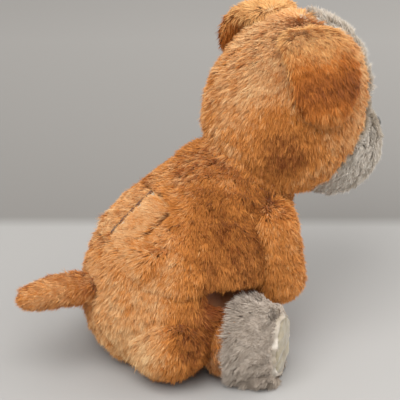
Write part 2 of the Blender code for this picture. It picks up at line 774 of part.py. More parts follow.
def build_housing_base():
    wide = HOUSING_HALF_WIDTH
    base = block("housing_base", (-wide, HOUSING_FRONT, HOUSING_BOTTOM), (wide, HOUSING_BACK, HOUSING_SPLIT),
                 plastic("base_plastic"), radius=0.003)
    floor = HOUSING_BOTTOM + WALL
    cut(base, block("base_hollow", (-wide + WALL, HOUSING_FRONT + WALL, floor),
                    (wide - WALL, HOUSING_BACK - WALL, HOUSING_SPLIT + 0.01)))
    for index, (x, y) in enumerate(screw_places()):
        join(base, rod(f"boss_{index}", BOSS_RADIUS, (x, y, floor - 0.001), (x, y, HOUSING_SPLIT), sides=8))
    for index, (x, y) in enumerate(board_posts()):
        join(base, rod(f"standoff_{index}", 0.0025, (x, y, floor - 0.001), (x, y, floor + STANDOFF_HEIGHT),
                       sides=6))
    pivot = TAIL_PIVOT
    for index, sign in enumerate((-1, 1)):
        inner = pivot.z + sign * BRACKET_GAP / 2
        outer = inner + sign * BRACKET_THICKNESS
        join(base, block(f"bracket_{index}", (-0.0070, HOUSING_BACK - 0.001, min(inner, outer)),
                         (0.0070, pivot.y + 0.0055, max(inner, outer))))
    sector = TAIL_GEAR_TEETH * GEAR_MODULE / 2 + 0.0028
    cut(base, block("sector_slot", (-sector, HOUSING_BACK - 2 * WALL, pivot.z - BRACKET_GAP / 2),
                    (sector, HOUSING_BACK + 0.001, pivot.z + BRACKET_GAP / 2)))
    cut(base, rod("tail_pin_bore", TAIL_PIN_RADIUS + SHAFT_GAP, (0, pivot.y, pivot.z - 0.02),
                  (0, pivot.y, pivot.z + 0.02), sides=16))
    for index, (x, y) in enumerate(screw_places()):
        cut(base, rod(f"counterbore_{index}", SCREW_HEAD_RADIUS + SEAT_GAP, (x, y, HOUSING_BOTTOM - 0.001),
                      (x, y, SCREW_SHOULDER), sides=8))
        cut(base, rod(f"screw_bore_{index}", SCREW_RADIUS + SEAT_GAP, (x, y, SCREW_SHOULDER - 0.001),
                      (x, y, HOUSING_SPLIT + 0.001), sides=8))
    for row in range(-1, 2):
        half = 0.0125 if row == 0 else 0.0095
        height = SPEAKER_HEIGHT + 0.006 * row
        cut(base, block(f"grille_{row}", (-half, HOUSING_FRONT - 0.001, height - 0.0012),
                        (half, HOUSING_FRONT + WALL + 0.001, height + 0.0012)))
    centre_y, bottom, top = tail_motor_place()
    cradle_height = bottom + 0.35 * (top - bottom)
    cradle = turned("motor_cradle", (
        (MOTOR_RADIUS + 0.0018, cradle_height),
        (MOTOR_RADIUS + 0.0018, floor - 0.0005),
        (MOTOR_RADIUS + SEAT_GAP, floor - 0.0005),
        (MOTOR_RADIUS + SEAT_GAP, cradle_height),
    ), frame=Matrix.Translation((0, centre_y, 0)), steps=12, ring=True)
    join(base, cradle)
    return base


def board_posts():
    for x in (-0.020, 0.020):
        for y in (HOUSING_FRONT + 0.020, HOUSING_FRONT + 0.052):
            yield x, y


def tail_motor_place():
    """The tail motor's Y, and the heights of its bottom and top."""
    centre_y = TAIL_PIVOT.y - (TAIL_GEAR_TEETH + TAIL_PINION_TEETH) * GEAR_MODULE / 2
    bottom = HOUSING_BOTTOM + WALL + SEAT_GAP
    top = TAIL_PIVOT.z - GEAR_THICKNESS / 2 - 0.0012
    return centre_y, bottom, top


def build_housing_lid():
    wide = HOUSING_HALF_WIDTH
    lid = block("housing_lid", (-wide, HOUSING_FRONT, HOUSING_SPLIT + SEAT_GAP),
                (wide, HOUSING_BACK, HOUSING_DECK), plastic("lid_plastic"))
    join(lid, block("tray_block", (-wide, TRAY_FRONT, HOUSING_SPLIT + 0.002), (wide, TRAY_BACK, DECK_TOP)))
    saddle = block("saddle", (-0.0140, HOUSING_FRONT, HOUSING_SPLIT + 0.002),
                   (0.0140, TRAY_FRONT + 0.002, HOUSING_DECK + 0.022))
    join(lid, saddle)
    cut(lid, rod("saddle_seat", CAN_RADIUS + 0.02, (0, 0, -CAN_BOTTOM - SEAT_GAP), (0, 0, 0), frame=NECK))
    tray_y = (TRAY_CENTRE_Y - TRAY_HALF_DEPTH, TRAY_CENTRE_Y + TRAY_HALF_DEPTH)
    door_y = (TRAY_CENTRE_Y - DOOR_HALF_DEPTH - SEAT_GAP, TRAY_CENTRE_Y + DOOR_HALF_DEPTH + SEAT_GAP)
    door_top = DOOR_BOTTOM + DOOR_THICKNESS
    cut(lid, block("tray_room", (-TRAY_HALF_LENGTH, tray_y[0], TRAY_FLOOR),
                   (TRAY_HALF_LENGTH, tray_y[1], DECK_TOP + 0.01)))
    cut(lid, block("door_slot", (-wide - 0.001, door_y[0], DOOR_BOTTOM - SEAT_GAP),
                   (wide - WALL, door_y[1], door_top + SEAT_GAP)))
    cut(lid, block("door_mouth", (-wide - 0.001, tray_y[0], door_top),
                   (wide - WALL, tray_y[1], DECK_TOP + 0.01)))
    centre = SWITCH_CENTRE
    cut(lid, block("switch_slot", (-0.0062, centre.y - 0.0028, DECK_TOP - 0.004),
                   (0.0062, centre.y + 0.0028, DECK_TOP + 0.001)))
    for index, (x, y) in enumerate(screw_places()):
        cut(lid, rod(f"lid_bore_{index}", SCREW_RADIUS + SEAT_GAP, (x, y, HOUSING_SPLIT - 0.001),
                     (x, y, HOUSING_DECK - 0.0015), sides=8))
    return lid


def build_screws():
    for index, (x, y) in enumerate(screw_places()):
        top = HOUSING_DECK - 0.0025
        shoulder = SCREW_SHOULDER - SEAT_GAP
        turned(f"housing_screw_{index + 1}", (
            (0, top),
            (SCREW_RADIUS, top - 0.001),
            (SCREW_RADIUS, shoulder),
            (SCREW_HEAD_RADIUS, shoulder),
            (SCREW_HEAD_RADIUS, shoulder - 0.0012),
            (0.0018, shoulder - 0.0020),
            (0, shoulder - 0.0020),
        ), metal(f"screw_steel_{index + 1}"), Matrix.Translation((x, y, 0)), steps=8)


def build_battery_door():
    door_top = DOOR_BOTTOM + DOOR_THICKNESS
    left = -HOUSING_HALF_WIDTH
    right = HOUSING_HALF_WIDTH - WALL - SEAT_GAP
    door = block("battery_door", (left, TRAY_CENTRE_Y - DOOR_HALF_DEPTH, DOOR_BOTTOM),
                 (right, TRAY_CENTRE_Y + DOOR_HALF_DEPTH, door_top), plastic("door_plastic"))
    for index in range(4):
        x = right - 0.008 - 0.0032 * index
        join(door, block(f"door_rib_{index}", (x, TRAY_CENTRE_Y - 0.010, door_top - 0.0005),
                         (x + 0.0014, TRAY_CENTRE_Y + 0.010, door_top + 0.0009)))
    hang(axis_empty("battery_door_track", Matrix.Translation((0, TRAY_CENTRE_Y, DOOR_BOTTOM))), door)


def build_power_switch():
    centre = SWITCH_CENTRE + Vector((-SWITCH_TRAVEL / 2, 0, DECK_TOP - 0.0037))
    knob = block("power_switch", centre + Vector((-0.0035, -0.0025, 0)),
                 centre + Vector((0.0035, 0.0025, 0.0030)), plastic("switch_plastic", WHITE_PLASTIC))
    join(knob, block("switch_grip", centre + Vector((-0.0012, -0.0018, 0.001)),
                     centre + Vector((0.0012, 0.0018, 0.0058))))
    hang(axis_empty("power_switch_track", Matrix.Translation(centre)), knob)


def build_cells():
    radius = CELL_RADIUS
    half = CELL_LENGTH / 2
    for index in range(CELL_COUNT):
        flip = 1 if index % 2 == 0 else -1
        y = TRAY_CENTRE_Y + (index - (CELL_COUNT - 1) / 2) * CELL_PITCH
        place = Matrix.Translation((0, y, TRAY_FLOOR + radius + SEAT_GAP))
        frame = place @ Matrix.Rotation(math.radians(90 * flip), 4, "Y")
        turned(f"cell_{index + 1}", (
            (0, half),
            (0.0027, half),
            (0.0027, half - 0.0012),
            (radius - 0.0006, half - 0.0012),
            (radius, half - 0.0018),
            (radius, -half + 0.0006),
            (radius - 0.0006, -half),
            (0, -half),
        ), paint(f"cell_wrap_{index + 1}", CELL_WRAP, 0.35, 0.3), frame, steps=12)


def build_contacts():
    for name, side in SIDES:
        outer = side * (TRAY_HALF_LENGTH - SEAT_GAP)
        inner = outer - side * CONTACT_THICKNESS
        low = TRAY_FLOOR + SEAT_GAP
        half = TRAY_HALF_DEPTH - SEAT_GAP
        contact = block(f"battery_contact_{name}", (min(outer, inner), TRAY_CENTRE_Y - half, low),
                        (max(outer, inner), TRAY_CENTRE_Y + half, low + 0.0125), metal(f"contact_{name}"))
        for index in range(CELL_COUNT):
            y = TRAY_CENTRE_Y + (index - (CELL_COUNT - 1) / 2) * CELL_PITCH
            height = TRAY_FLOOR + CELL_RADIUS + SEAT_GAP
            join(contact, rod(f"contact_bump_{name}_{index}", 0.0030, (outer - side * 0.0002, y, height),
                              (inner - side * CONTACT_BUMP, y, height), sides=10, end_radius=0.0015))


def build_electronics():
    floor = HOUSING_BOTTOM + WALL
    low = floor + STANDOFF_HEIGHT + SEAT_GAP
    front = HOUSING_FRONT + 0.0145
    board = block("circuit_board", (-0.0245, front, low), (0.0245, front + 0.045, low + BOARD_THICKNESS),
                  paint("board_green", BOARD_GREEN, 0.4))
    chips = (
        ((-0.012, 0.010), (0.014, 0.012), 0.0018),
        ((0.008, 0.012), (0.008, 0.006), 0.0014),
        ((0.006, 0.026), (0.012, 0.005), 0.0060),
        ((-0.018, 0.030), (0.006, 0.010), 0.0080),
    )
    for index, (place, size, height) in enumerate(chips):
        x, y = place
        join(board, block(f"chip_{index}", (x, front + y, low + 0.0005),
                          (x + size[0], front + y + size[1], low + BOARD_THICKNESS + height)))
    radius = SPEAKER_RADIUS
    depth = SPEAKER_DEPTH
    place = Matrix.Translation((0, HOUSING_FRONT + WALL + SEAT_GAP, SPEAKER_HEIGHT)) @ turn_x(90)
    turned("speaker", (
        (0, -0.0025),
        (0.006, -0.0020),
        (radius - 0.002, -0.0006),
        (radius - 0.002, 0),
        (radius, 0),
        (radius, -0.0016),
        (radius - 0.004, -0.0030),
        (0.010, -0.0055),
        (0.010, -depth),
        (0, -depth),
    ), plastic("speaker_frame", DARK_PLASTIC), place, steps=12)
    centre_y, bottom, top = tail_motor_place()
    build_motor("tail_motor", top - bottom, GEAR_THICKNESS + 0.0035, Matrix.Translation((0, centre_y, top)))


def build_motor(name, length, shaft, frame):
    """A geared motor whose front face is at the frame's origin, with the shaft along +Z."""
    return turned(name, (
        (0, shaft),
        (MOTOR_SHAFT_RADIUS, shaft),
        (MOTOR_SHAFT_RADIUS, 0.0008),
        (0.0030, 0.0008),
        (0.0030, 0),
        (MOTOR_RADIUS - 0.0008, 0),
        (MOTOR_RADIUS, -0.0008),
        (MOTOR_RADIUS, -length + 0.0008),
        (MOTOR_RADIUS - 0.0008, -length),
        (0, -length),
    ), metal(f"{name}_steel"), frame, steps=12)


# ---------------------------------------------------------------- drives


def build_pinion(name, teeth, frame, low, phase):
    """A pinion on the frame's Z axis from low up, with a tooth's middle at phase degrees."""
    pinion = plate(name, gear_outline(teeth, phase), low, low + GEAR_THICKNESS, plastic(f"{name}_acetal",
                   WHITE_PLASTIC), frame)
    cut(pinion, rod(f"{name}_bore", MOTOR_SHAFT_RADIUS + SHAFT_GAP, (0, 0, low - 0.001),
                    (0, 0, low + GEAR_THICKNESS + 0.001), frame=frame, sides=16))
    return pinion


def build_neck_drive(head_axis):
    """The post and gear turn with the head; the can, its cover and the motor stay in the torso."""
    gear_top = -CAN_TOP - COVER_THICKNESS - 0.0041
    gear_low = gear_top - GEAR_THICKNESS
    spindle = 0.006
    post = turned("neck_post", (
        (0, -SKULL_RADIUS + 0.0045),
        (NECK_RADIUS, -SKULL_RADIUS + 0.0045),
        (NECK_RADIUS, -SKULL_RADIUS - SEAT_GAP),
        (NECK_FLANGE_RADIUS, -SKULL_RADIUS - 0.0012),
        (NECK_FLANGE_RADIUS, -SKULL_RADIUS - 0.0036),
        (NECK_RADIUS, -SKULL_RADIUS - 0.0060),
        (NECK_RADIUS, -CAN_TOP + 0.0036),
        (NECK_COLLAR_RADIUS, -CAN_TOP + 0.0026),
        (NECK_COLLAR_RADIUS, -CAN_TOP + SEAT_GAP),
        (NECK_RADIUS, -CAN_TOP + SEAT_GAP),
        (NECK_RADIUS, gear_top + SEAT_GAP),
        (spindle, gear_top + SEAT_GAP),
        (spindle, gear_low - 0.0015),
        (spindle - 0.001, gear_low - 0.0025),
        (0, gear_low - 0.0025),
    ), plastic("post_plastic"), NECK, steps=SKULL_STEPS)
    gear = plate("neck_gear", gear_outline(NECK_GEAR_TEETH, 90), gear_low, gear_top,
                 plastic("neck_gear_acetal", WHITE_PLASTIC), NECK)
    cut(gear, rod("neck_gear_bore", spindle + SHAFT_GAP, (0, 0, gear_low - 0.001), (0, 0, gear_top + 0.001),
                  frame=NECK, sides=28))
    hang(head_axis, post, gear)
    inner = CAN_RADIUS - WALL
    rim = -CAN_TOP - COVER_THICKNESS - SEAT_GAP
    turned("neck_can", (
        (0, -CAN_BOTTOM + WALL),
        (inner, -CAN_BOTTOM + WALL),
        (inner, rim),
        (CAN_RADIUS, rim),
        (CAN_RADIUS, -CAN_BOTTOM),
        (0, -CAN_BOTTOM),
    ), plastic("can_plastic"), NECK, steps=20)
    bushing = NECK_RADIUS + SHAFT_GAP
    turned("neck_cover", (
        (CAN_RADIUS, -CAN_TOP),
        (CAN_RADIUS, -CAN_TOP - COVER_THICKNESS),
        (bushing + 0.002, -CAN_TOP - COVER_THICKNESS),
        (bushing + 0.002, -CAN_TOP - COVER_THICKNESS - 0.002),
        (bushing, -CAN_TOP - COVER_THICKNESS - 0.002),
        (bushing, -CAN_TOP),
    ), plastic("cover_plastic"), NECK, steps=20, ring=True)
    reach = (NECK_GEAR_TEETH + NECK_PINION_TEETH) * GEAR_MODULE / 2
    shaft_axis = NECK @ Matrix.Translation((0, reach, 0))
    face = gear_low - 0.0012
    length = face + CAN_BOTTOM - WALL - SEAT_GAP
    build_motor("neck_motor", length, GEAR_THICKNESS + 0.0020, shaft_axis @ Matrix.Translation((0, 0, face)))
    pinion = build_pinion("neck_pinion", NECK_PINION_TEETH, shaft_axis, gear_low,
                          -90 + 180 / NECK_PINION_TEETH)
    hang(axis_empty("neck_pinion_axis", shaft_axis), pinion)


def build_tail():
    axis = axis_empty("tail_axis", TAIL)
    half = GEAR_THICKNESS / 2
    arm = plate("tail_arm", gear_outline(TAIL_GEAR_TEETH, -90, TAIL_SECTOR_HALF), -half, half,
                plastic("tail_arm_acetal", WHITE_PLASTIC), TAIL)
    trim = block("sector_trim", (-0.03, 0.0048, -0.01), (0.03, 0.03, 0.01), frame=TAIL)
    cut(arm, trim)
    join(arm, rod("tail_rod", TAIL_ROD_RADIUS, (0, 0.004, 0), (0, TAIL_ROOT + 0.034, 0), frame=TAIL, sides=14))
    cut(arm, rod("tail_bore", TAIL_PIN_RADIUS + SHAFT_GAP, (0, 0, -0.01), (0, 0, 0.01), frame=TAIL, sides=16))
    plush = piece_of(TAIL_FORM, "tail_plush", fur("tail_fur"))
    cut(plush, rod("tail_plush_bore", TAIL_ROD_RADIUS + SEAT_GAP, (0, 0.01, 0), (0, TAIL_ROOT + 0.0345, 0),
                   frame=TAIL, sides=14))
    hang(axis, arm, plush)
    reach = BRACKET_GAP / 2 + BRACKET_THICKNESS
    turned("tail_pin", (
        (0, reach + PIN_HEAD),
        (0.0025, reach + PIN_HEAD),
        (0.0025, reach + SEAT_GAP),
        (TAIL_PIN_RADIUS, reach + SEAT_GAP),
        (TAIL_PIN_RADIUS, -reach - 0.0004),
        (0, -reach - 0.0004),
    ), metal("tail_pin_steel"), TAIL, steps=12)
    centre_y, _, _ = tail_motor_place()
    shaft_axis = Matrix.Translation((0, centre_y, TAIL_PIVOT.z))
    pinion = build_pinion("tail_pinion", TAIL_PINION_TEETH, shaft_axis, -half, 90 + 180 / TAIL_PINION_TEETH)
    hang(axis_empty("tail_pinion_axis", shaft_axis), pinion)


# ---------------------------------------------------------------- head


def on_ellipsoid(direction, size):
    """The point where a ray from an ellipsoid's centre leaves it."""
    stretched = Vector([part / half for part, half in zip(direction, size)])
    return direction / stretched.length


def eye_frame(side):
    """A frame on the head's surface at the eye, with Z outwards."""
    outward = mirrored(EYE_DIRECTION, side).normalized()
    local = turn_x(-NECK_LEAN) @ outward
    reach = on_ellipsoid(local, (HEAD_RADIUS, HEAD_RADIUS, HEAD_HALF_HEIGHT)).length
    turn = outward.to_track_quat("Z", "Y").to_matrix().to_4x4()
    return Matrix.Translation(HEAD_CENTRE + outward * reach) @ turn, reach


def build_eye(side, name, material=None, gap=0.0):
    """A domed eye on a stem that ends inside the skull cap."""
    frame, reach = eye_frame(side)
    radius = EYE_RADIUS + gap
    stem = EYE_STEM_RADIUS + gap
    low = SKULL_RADIUS - SKULL_WALL - 0.003 - reach
    dome = [(radius * math.sin(math.radians(angle)), -0.003 + 0.8 * radius * math.cos(math.radians(angle)))
            for angle in range(0, 91, 18)]
    return turned(name, (
        *dome,
        (radius, -0.0045 - gap),
        (stem, -0.0055 - gap),
        (stem, low - gap),
        (0, low - gap),
    ), material, frame, steps=12)


def nose_frame():
    tilt = math.radians(NOSE_ANGLE)
    direction = Vector((0, -math.cos(tilt), math.sin(tilt)))
    place = MUZZLE_CENTRE + on_ellipsoid(direction, MUZZLE_SIZE)
    return Matrix.Translation(place) @ turn_x(90 - NOSE_ANGLE)


def build_head(axis):
    plush = piece_of(HEAD_FORM, "head_plush", fur("head_fur"))
    shell = SKULL_RADIUS + SEAT_GAP
    skull_room = ball("skull_room", (0, 0, 0), (shell, shell, shell), frame=NECK, segments=SKULL_STEPS,
                      rings=SKULL_RINGS)
    neck_hole = rod("head_neck_room", NECK_FLANGE_RADIUS + 0.0008, (0, 0, -0.040), (0, 0, -0.090), frame=NECK,
                    sides=18)
    snout_room = block("snout_room", (-SNOUT_HALF_WIDTH - SEAT_GAP, SNOUT_FRONT - 0.0040, MOUTH_HEIGHT),
                       (SNOUT_HALF_WIDTH + SEAT_GAP, SNOUT_REAR + 0.005, SNOUT_TOP + SEAT_GAP))
    jaw_room = block("jaw_room", (-SNOUT_HALF_WIDTH - RUN_GAP, COIL_Y - 0.003, MOUTH_HEIGHT - 0.035),
                     (SNOUT_HALF_WIDTH + RUN_GAP, JAW_PIVOT.y + 0.009, SNOUT_BOTTOM + 0.002))
    button_room = rod("button_room", HEAD_BUTTON_RADIUS + SOFT_GAP, (0, 0, 0.040),
                      (0, 0, SKULL_RADIUS + HEAD_BUTTON_HEIGHT + RUN_GAP), frame=NECK, sides=14)
    cut(plush, skull_room, neck_hole, snout_room, jaw_room, button_room)
    # the blaze is a sewn panel, let into the forehead
    core = HEAD_RADIUS - BLAZE_DEPTH
    inner = ball("blaze_core", (0, 0, 0), (core, core, HEAD_HALF_HEIGHT - BLAZE_DEPTH), frame=NECK,
                 segments=20, rings=12)
    panel = blaze_block("blaze_panel", 0.0)
    blaze = piece_of(HEAD_FORM, "blaze_plush", pale_fur("blaze_fur"))
    keep(blaze, panel)
    cut(blaze, inner, grown(MUZZLE_FORM, SOFT_GAP))
    recess = piece_of(HEAD_FORM, "blaze_recess", fur("recess"))
    make_guide(recess)
    keep(recess, blaze_block("blaze_recess_panel", SOFT_GAP))
    cut(recess, ball("blaze_recess_core", (0, 0, 0), (core - SOFT_GAP, core - SOFT_GAP,
                     HEAD_HALF_HEIGHT - BLAZE_DEPTH - SOFT_GAP), frame=NECK, segments=20, rings=12))
    cut(plush, grown(recess, 0.00001))
    muzzle = piece_of(MUZZLE_FORM, "muzzle_plush", pale_fur("muzzle_fur"))
    head_wall = grown(HEAD_FORM, SOFT_GAP)
    mouth = block("mouth_room", (-CHIN_HALF_WIDTH - RUN_GAP, -0.2, 0.1),
                  (CHIN_HALF_WIDTH + RUN_GAP, -0.08, MOUTH_HEIGHT + SOFT_GAP))
    coil_room = rod("coil_room", COIL_RADIUS + SOFT_GAP, (0, COIL_Y, MOUTH_HEIGHT - 0.005),
                    (0, COIL_Y, SNOUT_BOTTOM + 0.005))
    cut(muzzle, head_wall, mouth, snout_room, coil_room)
    nose = build_nose()
    cut(muzzle, nose_room())
    eyes = []
    for name, side in SIDES:
        eye = build_eye(side, f"eye_{name}", paint(f"eye_gloss_{name}", AMBER_EYE, 0.08))
        eye_room = build_eye(side, f"eye_room_{name}", gap=SEAT_GAP)
        cut(plush, eye_room)
        cut(blaze, eye_room)
        eyes.append(eye)
    flange = HEAD_BUTTON_RADIUS + 0.0020
    flange_top = skull_height(SKULL_RADIUS - SKULL_WALL, flange) - SEAT_GAP
    button = turned("head_button", (
        (0, SKULL_RADIUS + HEAD_BUTTON_HEIGHT),
        (HEAD_BUTTON_RADIUS - 0.001, SKULL_RADIUS + HEAD_BUTTON_HEIGHT),
        (HEAD_BUTTON_RADIUS, SKULL_RADIUS + HEAD_BUTTON_HEIGHT - 0.001),
        (HEAD_BUTTON_RADIUS, flange_top),
        (flange, flange_top),
        (flange, flange_top - 0.0015),
        (0, flange_top - 0.0015),
    ), plastic("button_plastic", WHITE_PLASTIC), NECK, steps=SKULL_STEPS)
    hang(axis, plush, blaze, muzzle, nose, *eyes, button)


def make_guide(piece):
    PUPPY.objects.unlink(piece)
    GUIDES.objects.link(piece)
    piece.hide_render = True
    piece.display_type = "WIRE"


def blaze_block(name, gap):
    """The sector of the forehead that the blaze fills, from the muzzle up to the crown."""
    outline = [(half + gap, HEAD_CENTRE.z + rise) for half, rise in BLAZE_CORNERS]
    outline.append((outline[-1][0], HEAD_CENTRE.z + SPREAD))
    outline += [(-x, z) for x, z in reversed(outline)]
    # the plate lies along Z, which the frame turns towards the back of the head
    facing = Matrix.Rotation(math.radians(90), 4, "X")
    reach = BLAZE_REACH - HEAD_CENTRE.y - gap
    return plate(name, outline, reach, reach + SPREAD, frame=facing)


def build_nose():
    frame = nose_frame()
    nose = ball("nose", (0, 0, -0.001), (NOSE_SIZE.x, NOSE_SIZE.z, NOSE_SIZE.y), paint("nose_gloss", DARK_PLASTIC,
                0.25), frame, segments=16, rings=8)
    tip = frame.translation
    join(nose, rod("nose_stem", NOSE_STEM_RADIUS, (0, tip.y + 0.002, NOSE_STEM_HEIGHT),
                   (0, SNOUT_FRONT - SEAT_GAP, NOSE_STEM_HEIGHT), sides=12))
    return nose


def nose_room():
    size = NOSE_SIZE
    gap = SEAT_GAP
    frame = nose_frame()
    room = ball("nose_room", (0, 0, -0.001), (size.x + gap, size.z + gap, size.y + gap), None, frame,
                segments=16, rings=8)
    tip = frame.translation
    join(room, rod("nose_stem_room", NOSE_STEM_RADIUS + gap, (0, tip.y + 0.002, NOSE_STEM_HEIGHT),
                   (0, SNOUT_FRONT + 0.006, NOSE_STEM_HEIGHT), sides=12))
    return room


def skull_height(radius, reach):
    """The height above the centre of the skull's last facet, at reach from the axis."""
    edge = math.pi / 2 - math.pi / SKULL_RINGS
    drop = radius * (1 - math.sin(edge))
    return radius - drop * reach / (radius * math.cos(edge))


def build_skull(axis):
    outer = SKULL_RADIUS
    inner = SKULL_RADIUS - SKULL_WALL
    lip = 0.5 * SKULL_WALL

    def arc(radius, first, last):
        """Points at the skull's latitudes from first to last, which count its rings."""
        for ring in range(first, last, 1 if last > first else -1):
            angle = math.pi * ring / SKULL_RINGS
            yield radius * math.cos(angle), radius * math.sin(angle)

    hole = NECK_RADIUS + SHAFT_GAP
    pole = SKULL_RINGS // 2
    base = turned("skull_base", (
        (inner + lip, 0.0010),
        (inner + lip, -SEAT_GAP / 2),
        (outer, -SEAT_GAP / 2),
        *arc(outer, -1, -pole),
        (hole, -skull_height(outer, hole)),
        (hole, -skull_height(inner, hole)),
        *arc(inner, 1 - pole, 0),
        (inner, 0.0010),
    ), plastic("skull_base_plastic"), NECK, steps=SKULL_STEPS, ring=True)
    hole = HEAD_BUTTON_RADIUS + SEAT_GAP
    cap = turned("skull_cap", (
        (hole, skull_height(outer, hole)),
        *arc(outer, pole - 1, 0),
        (outer, SEAT_GAP / 2),
        (inner + lip + SEAT_GAP, SEAT_GAP / 2),
        (inner + lip + SEAT_GAP, 0.0013),
        *arc(inner, 1, pole),
        (hole, skull_height(inner, hole)),
    ), plastic("skull_cap_plastic"), NECK, steps=SKULL_STEPS, ring=True)
    for name, side in SIDES:
        frame, reach = eye_frame(side)
        cut(cap, rod(f"eye_bore_{name}", EYE_STEM_RADIUS + SHAFT_GAP, (0, 0, 0), (0, 0, -0.03), frame=frame,
                     sides=12))
    hang(axis, base, cap)


def build_snout(axis):
    """The beam that the muzzle plush, the nose and the jaw hang on."""
    half = SNOUT_HALF_WIDTH
    snout = block("snout_frame", (-half, SNOUT_FRONT, SNOUT_BOTTOM), (half, SNOUT_REAR, SNOUT_TOP),
                  plastic("snout_plastic"), radius=0.0015)
    pivot = JAW_PIVOT
    for name, side in SIDES:
        inner = side * (half - 0.0035)
        outer = side * half
        low = min(inner, outer)
        high = max(inner, outer)
        join(snout, block(f"jaw_lug_{name}", (low, pivot.y - 0.0045, pivot.z),
                          (high, pivot.y + 0.0045, SNOUT_BOTTOM + 0.0055)))
        join(snout, rod(f"jaw_lug_end_{name}", 0.0045, (low, pivot.y, pivot.z), (high, pivot.y, pivot.z),
                        sides=12))
    clear = SKULL_RADIUS + SEAT_GAP
    cut(snout, ball("snout_seat", (0, 0, 0), (clear, clear, clear), frame=NECK, segments=SKULL_STEPS,
                    rings=SKULL_RINGS))
    cut(snout, rod("jaw_pin_bore", JAW_PIN_RADIUS + SHAFT_GAP, (-0.02, pivot.y, pivot.z),
                   (0.02, pivot.y, pivot.z), sides=16))
    coil_top = SNOUT_BOTTOM + COIL_DEPTH
    coil_bottom = MOUTH_HEIGHT + 0.0015
    cut(snout, rod("coil_seat", COIL_RADIUS + SEAT_GAP, (0, COIL_Y, MOUTH_HEIGHT), (0, COIL_Y, coil_top)))
    cut(snout, rod("nose_bore", NOSE_STEM_RADIUS + SHAFT_GAP, (0, SNOUT_FRONT - 0.004, NOSE_STEM_HEIGHT),
                   (0, SNOUT_FRONT + 0.006, NOSE_STEM_HEIGHT), sides=12))
    coil = turned("jaw_coil", (
        (COIL_RADIUS, coil_top - SEAT_GAP),
        (COIL_RADIUS, coil_bottom),
        (0.0022, coil_bottom),
        (0.0022, coil_top - SEAT_GAP),
    ), metal("coil_copper", BRASS), Matrix.Translation((0, COIL_Y, 0)), steps=16, ring=True)
    pin = rod("jaw_pin", JAW_PIN_RADIUS, (-half - 0.0004, pivot.y, pivot.z), (half + 0.0004, pivot.y, pivot.z),
              metal("jaw_pin_steel"), sides=16)
    hang(axis, snout, coil, pin)


def build_jaw():
    """The hinged frame of the mouth with its magnet, inside the plush chin."""
    axis = axis_empty("jaw_axis", JAW)
    pivot = JAW_PIVOT
    half = SNOUT_HALF_WIDTH - 0.0035 - SEAT_GAP
    hub = rod("jaw_frame", JAW_HUB_RADIUS, (-half, pivot.y, pivot.z), (half, pivot.y, pivot.z),
              plastic("jaw_plastic"), sides=20)
    tongue_tip = SNOUT_FRONT - 0.0020
    join(hub, block("jaw_tongue", (-half + 0.001, tongue_tip, TONGUE_TOP - 0.0026),
                    (half - 0.001, pivot.y, TONGUE_TOP)))
    cut(hub, rod("jaw_bore", JAW_PIN_RADIUS + SHAFT_GAP, (-0.02, pivot.y, pivot.z), (0.02, pivot.y, pivot.z),
                 sides=16))
    magnet = rod("jaw_magnet", 0.0045, (0, COIL_Y, TONGUE_TOP + SEAT_GAP), (0, COIL_Y, TONGUE_TOP + 0.0020),
                 metal("magnet_steel"), sides=20)
    chin = piece_of(MUZZLE_FORM, "chin_plush", pale_fur("chin_fur"))
    keep(chin, ball("chin_round", MUZZLE_CENTRE + Vector((0, CHIN_SETBACK, 0)), MUZZLE_SIZE, segments=18,
                    rings=10))
    keep(chin, block("chin_room", (-CHIN_HALF_WIDTH, -0.2, 0.1), (CHIN_HALF_WIDTH, pivot.y - 0.0045, MOUTH_HEIGHT)))
    cut(chin, grown(HEAD_FORM, 2 * RUN_GAP))
    cut(chin, block("tongue_room", (-half + 0.0005, tongue_tip - 0.0005, TONGUE_TOP - 0.0030),
                    (half - 0.0005, pivot.y + 0.012, TONGUE_TOP + 0.0060)))
    hang(axis, hub, magnet, chin)


def build_ears():
    for name, side in SIDES:
        ear = piece_of(EAR_FORMS[name], f"ear_{name}", fur(f"ear_fur_{name}"))
        edge = side * (EAR_PIVOT.x + 0.0003)
        outer = side * 0.2
        keep(ear, block(f"ear_side_{name}", (min(edge, outer), -0.2, 0.1), (max(edge, outer), 0.1, 0.4)))
        cut(ear, grown(HEAD_FORM, SOFT_GAP))
        # the head as the raised ear meets it
        pivot = Matrix.Translation(mirrored(EAR_PIVOT, side))
        for share in (0.5, 1.0):
            raised = grown(HEAD_FORM, SOFT_GAP)
            turn = Matrix.Rotation(math.radians(side * share * EAR_LIFT), 4, "Y")
            raised.matrix_world = pivot @ turn @ pivot.inverted()
            cut(ear, raised)
        hang(axis_empty(f"ear_axis_{name}", Matrix.Translation(mirrored(EAR_PIVOT, side))), ear)


def build():
    build_torso()
    build_legs()
    build_arms()
    build_back_opening()
    build_housing_base()
    build_housing_lid()
    build_screws()
    build_battery_door()
    build_power_switch()
    build_cells()
    build_contacts()
    build_electronics()
    head_axis = axis_empty("neck_axis", NECK)
    build_neck_drive(head_axis)
    build_head(head_axis)
    build_skull(head_axis)
    build_snout(head_axis)
    build_jaw()
    build_ears()
    build_tail()


build()
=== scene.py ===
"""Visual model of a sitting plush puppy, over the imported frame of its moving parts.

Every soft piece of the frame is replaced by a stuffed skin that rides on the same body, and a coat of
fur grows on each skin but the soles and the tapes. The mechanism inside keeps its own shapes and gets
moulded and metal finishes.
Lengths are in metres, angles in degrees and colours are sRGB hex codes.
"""

from __future__ import annotations

import json
import logging
import math
from dataclasses import dataclass, field
from enum import Enum
from typing import Callable

import bmesh
import bpy
import numpy as np
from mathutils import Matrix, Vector
from mathutils.bvhtree import BVHTree
from mathutils.kdtree import KDTree

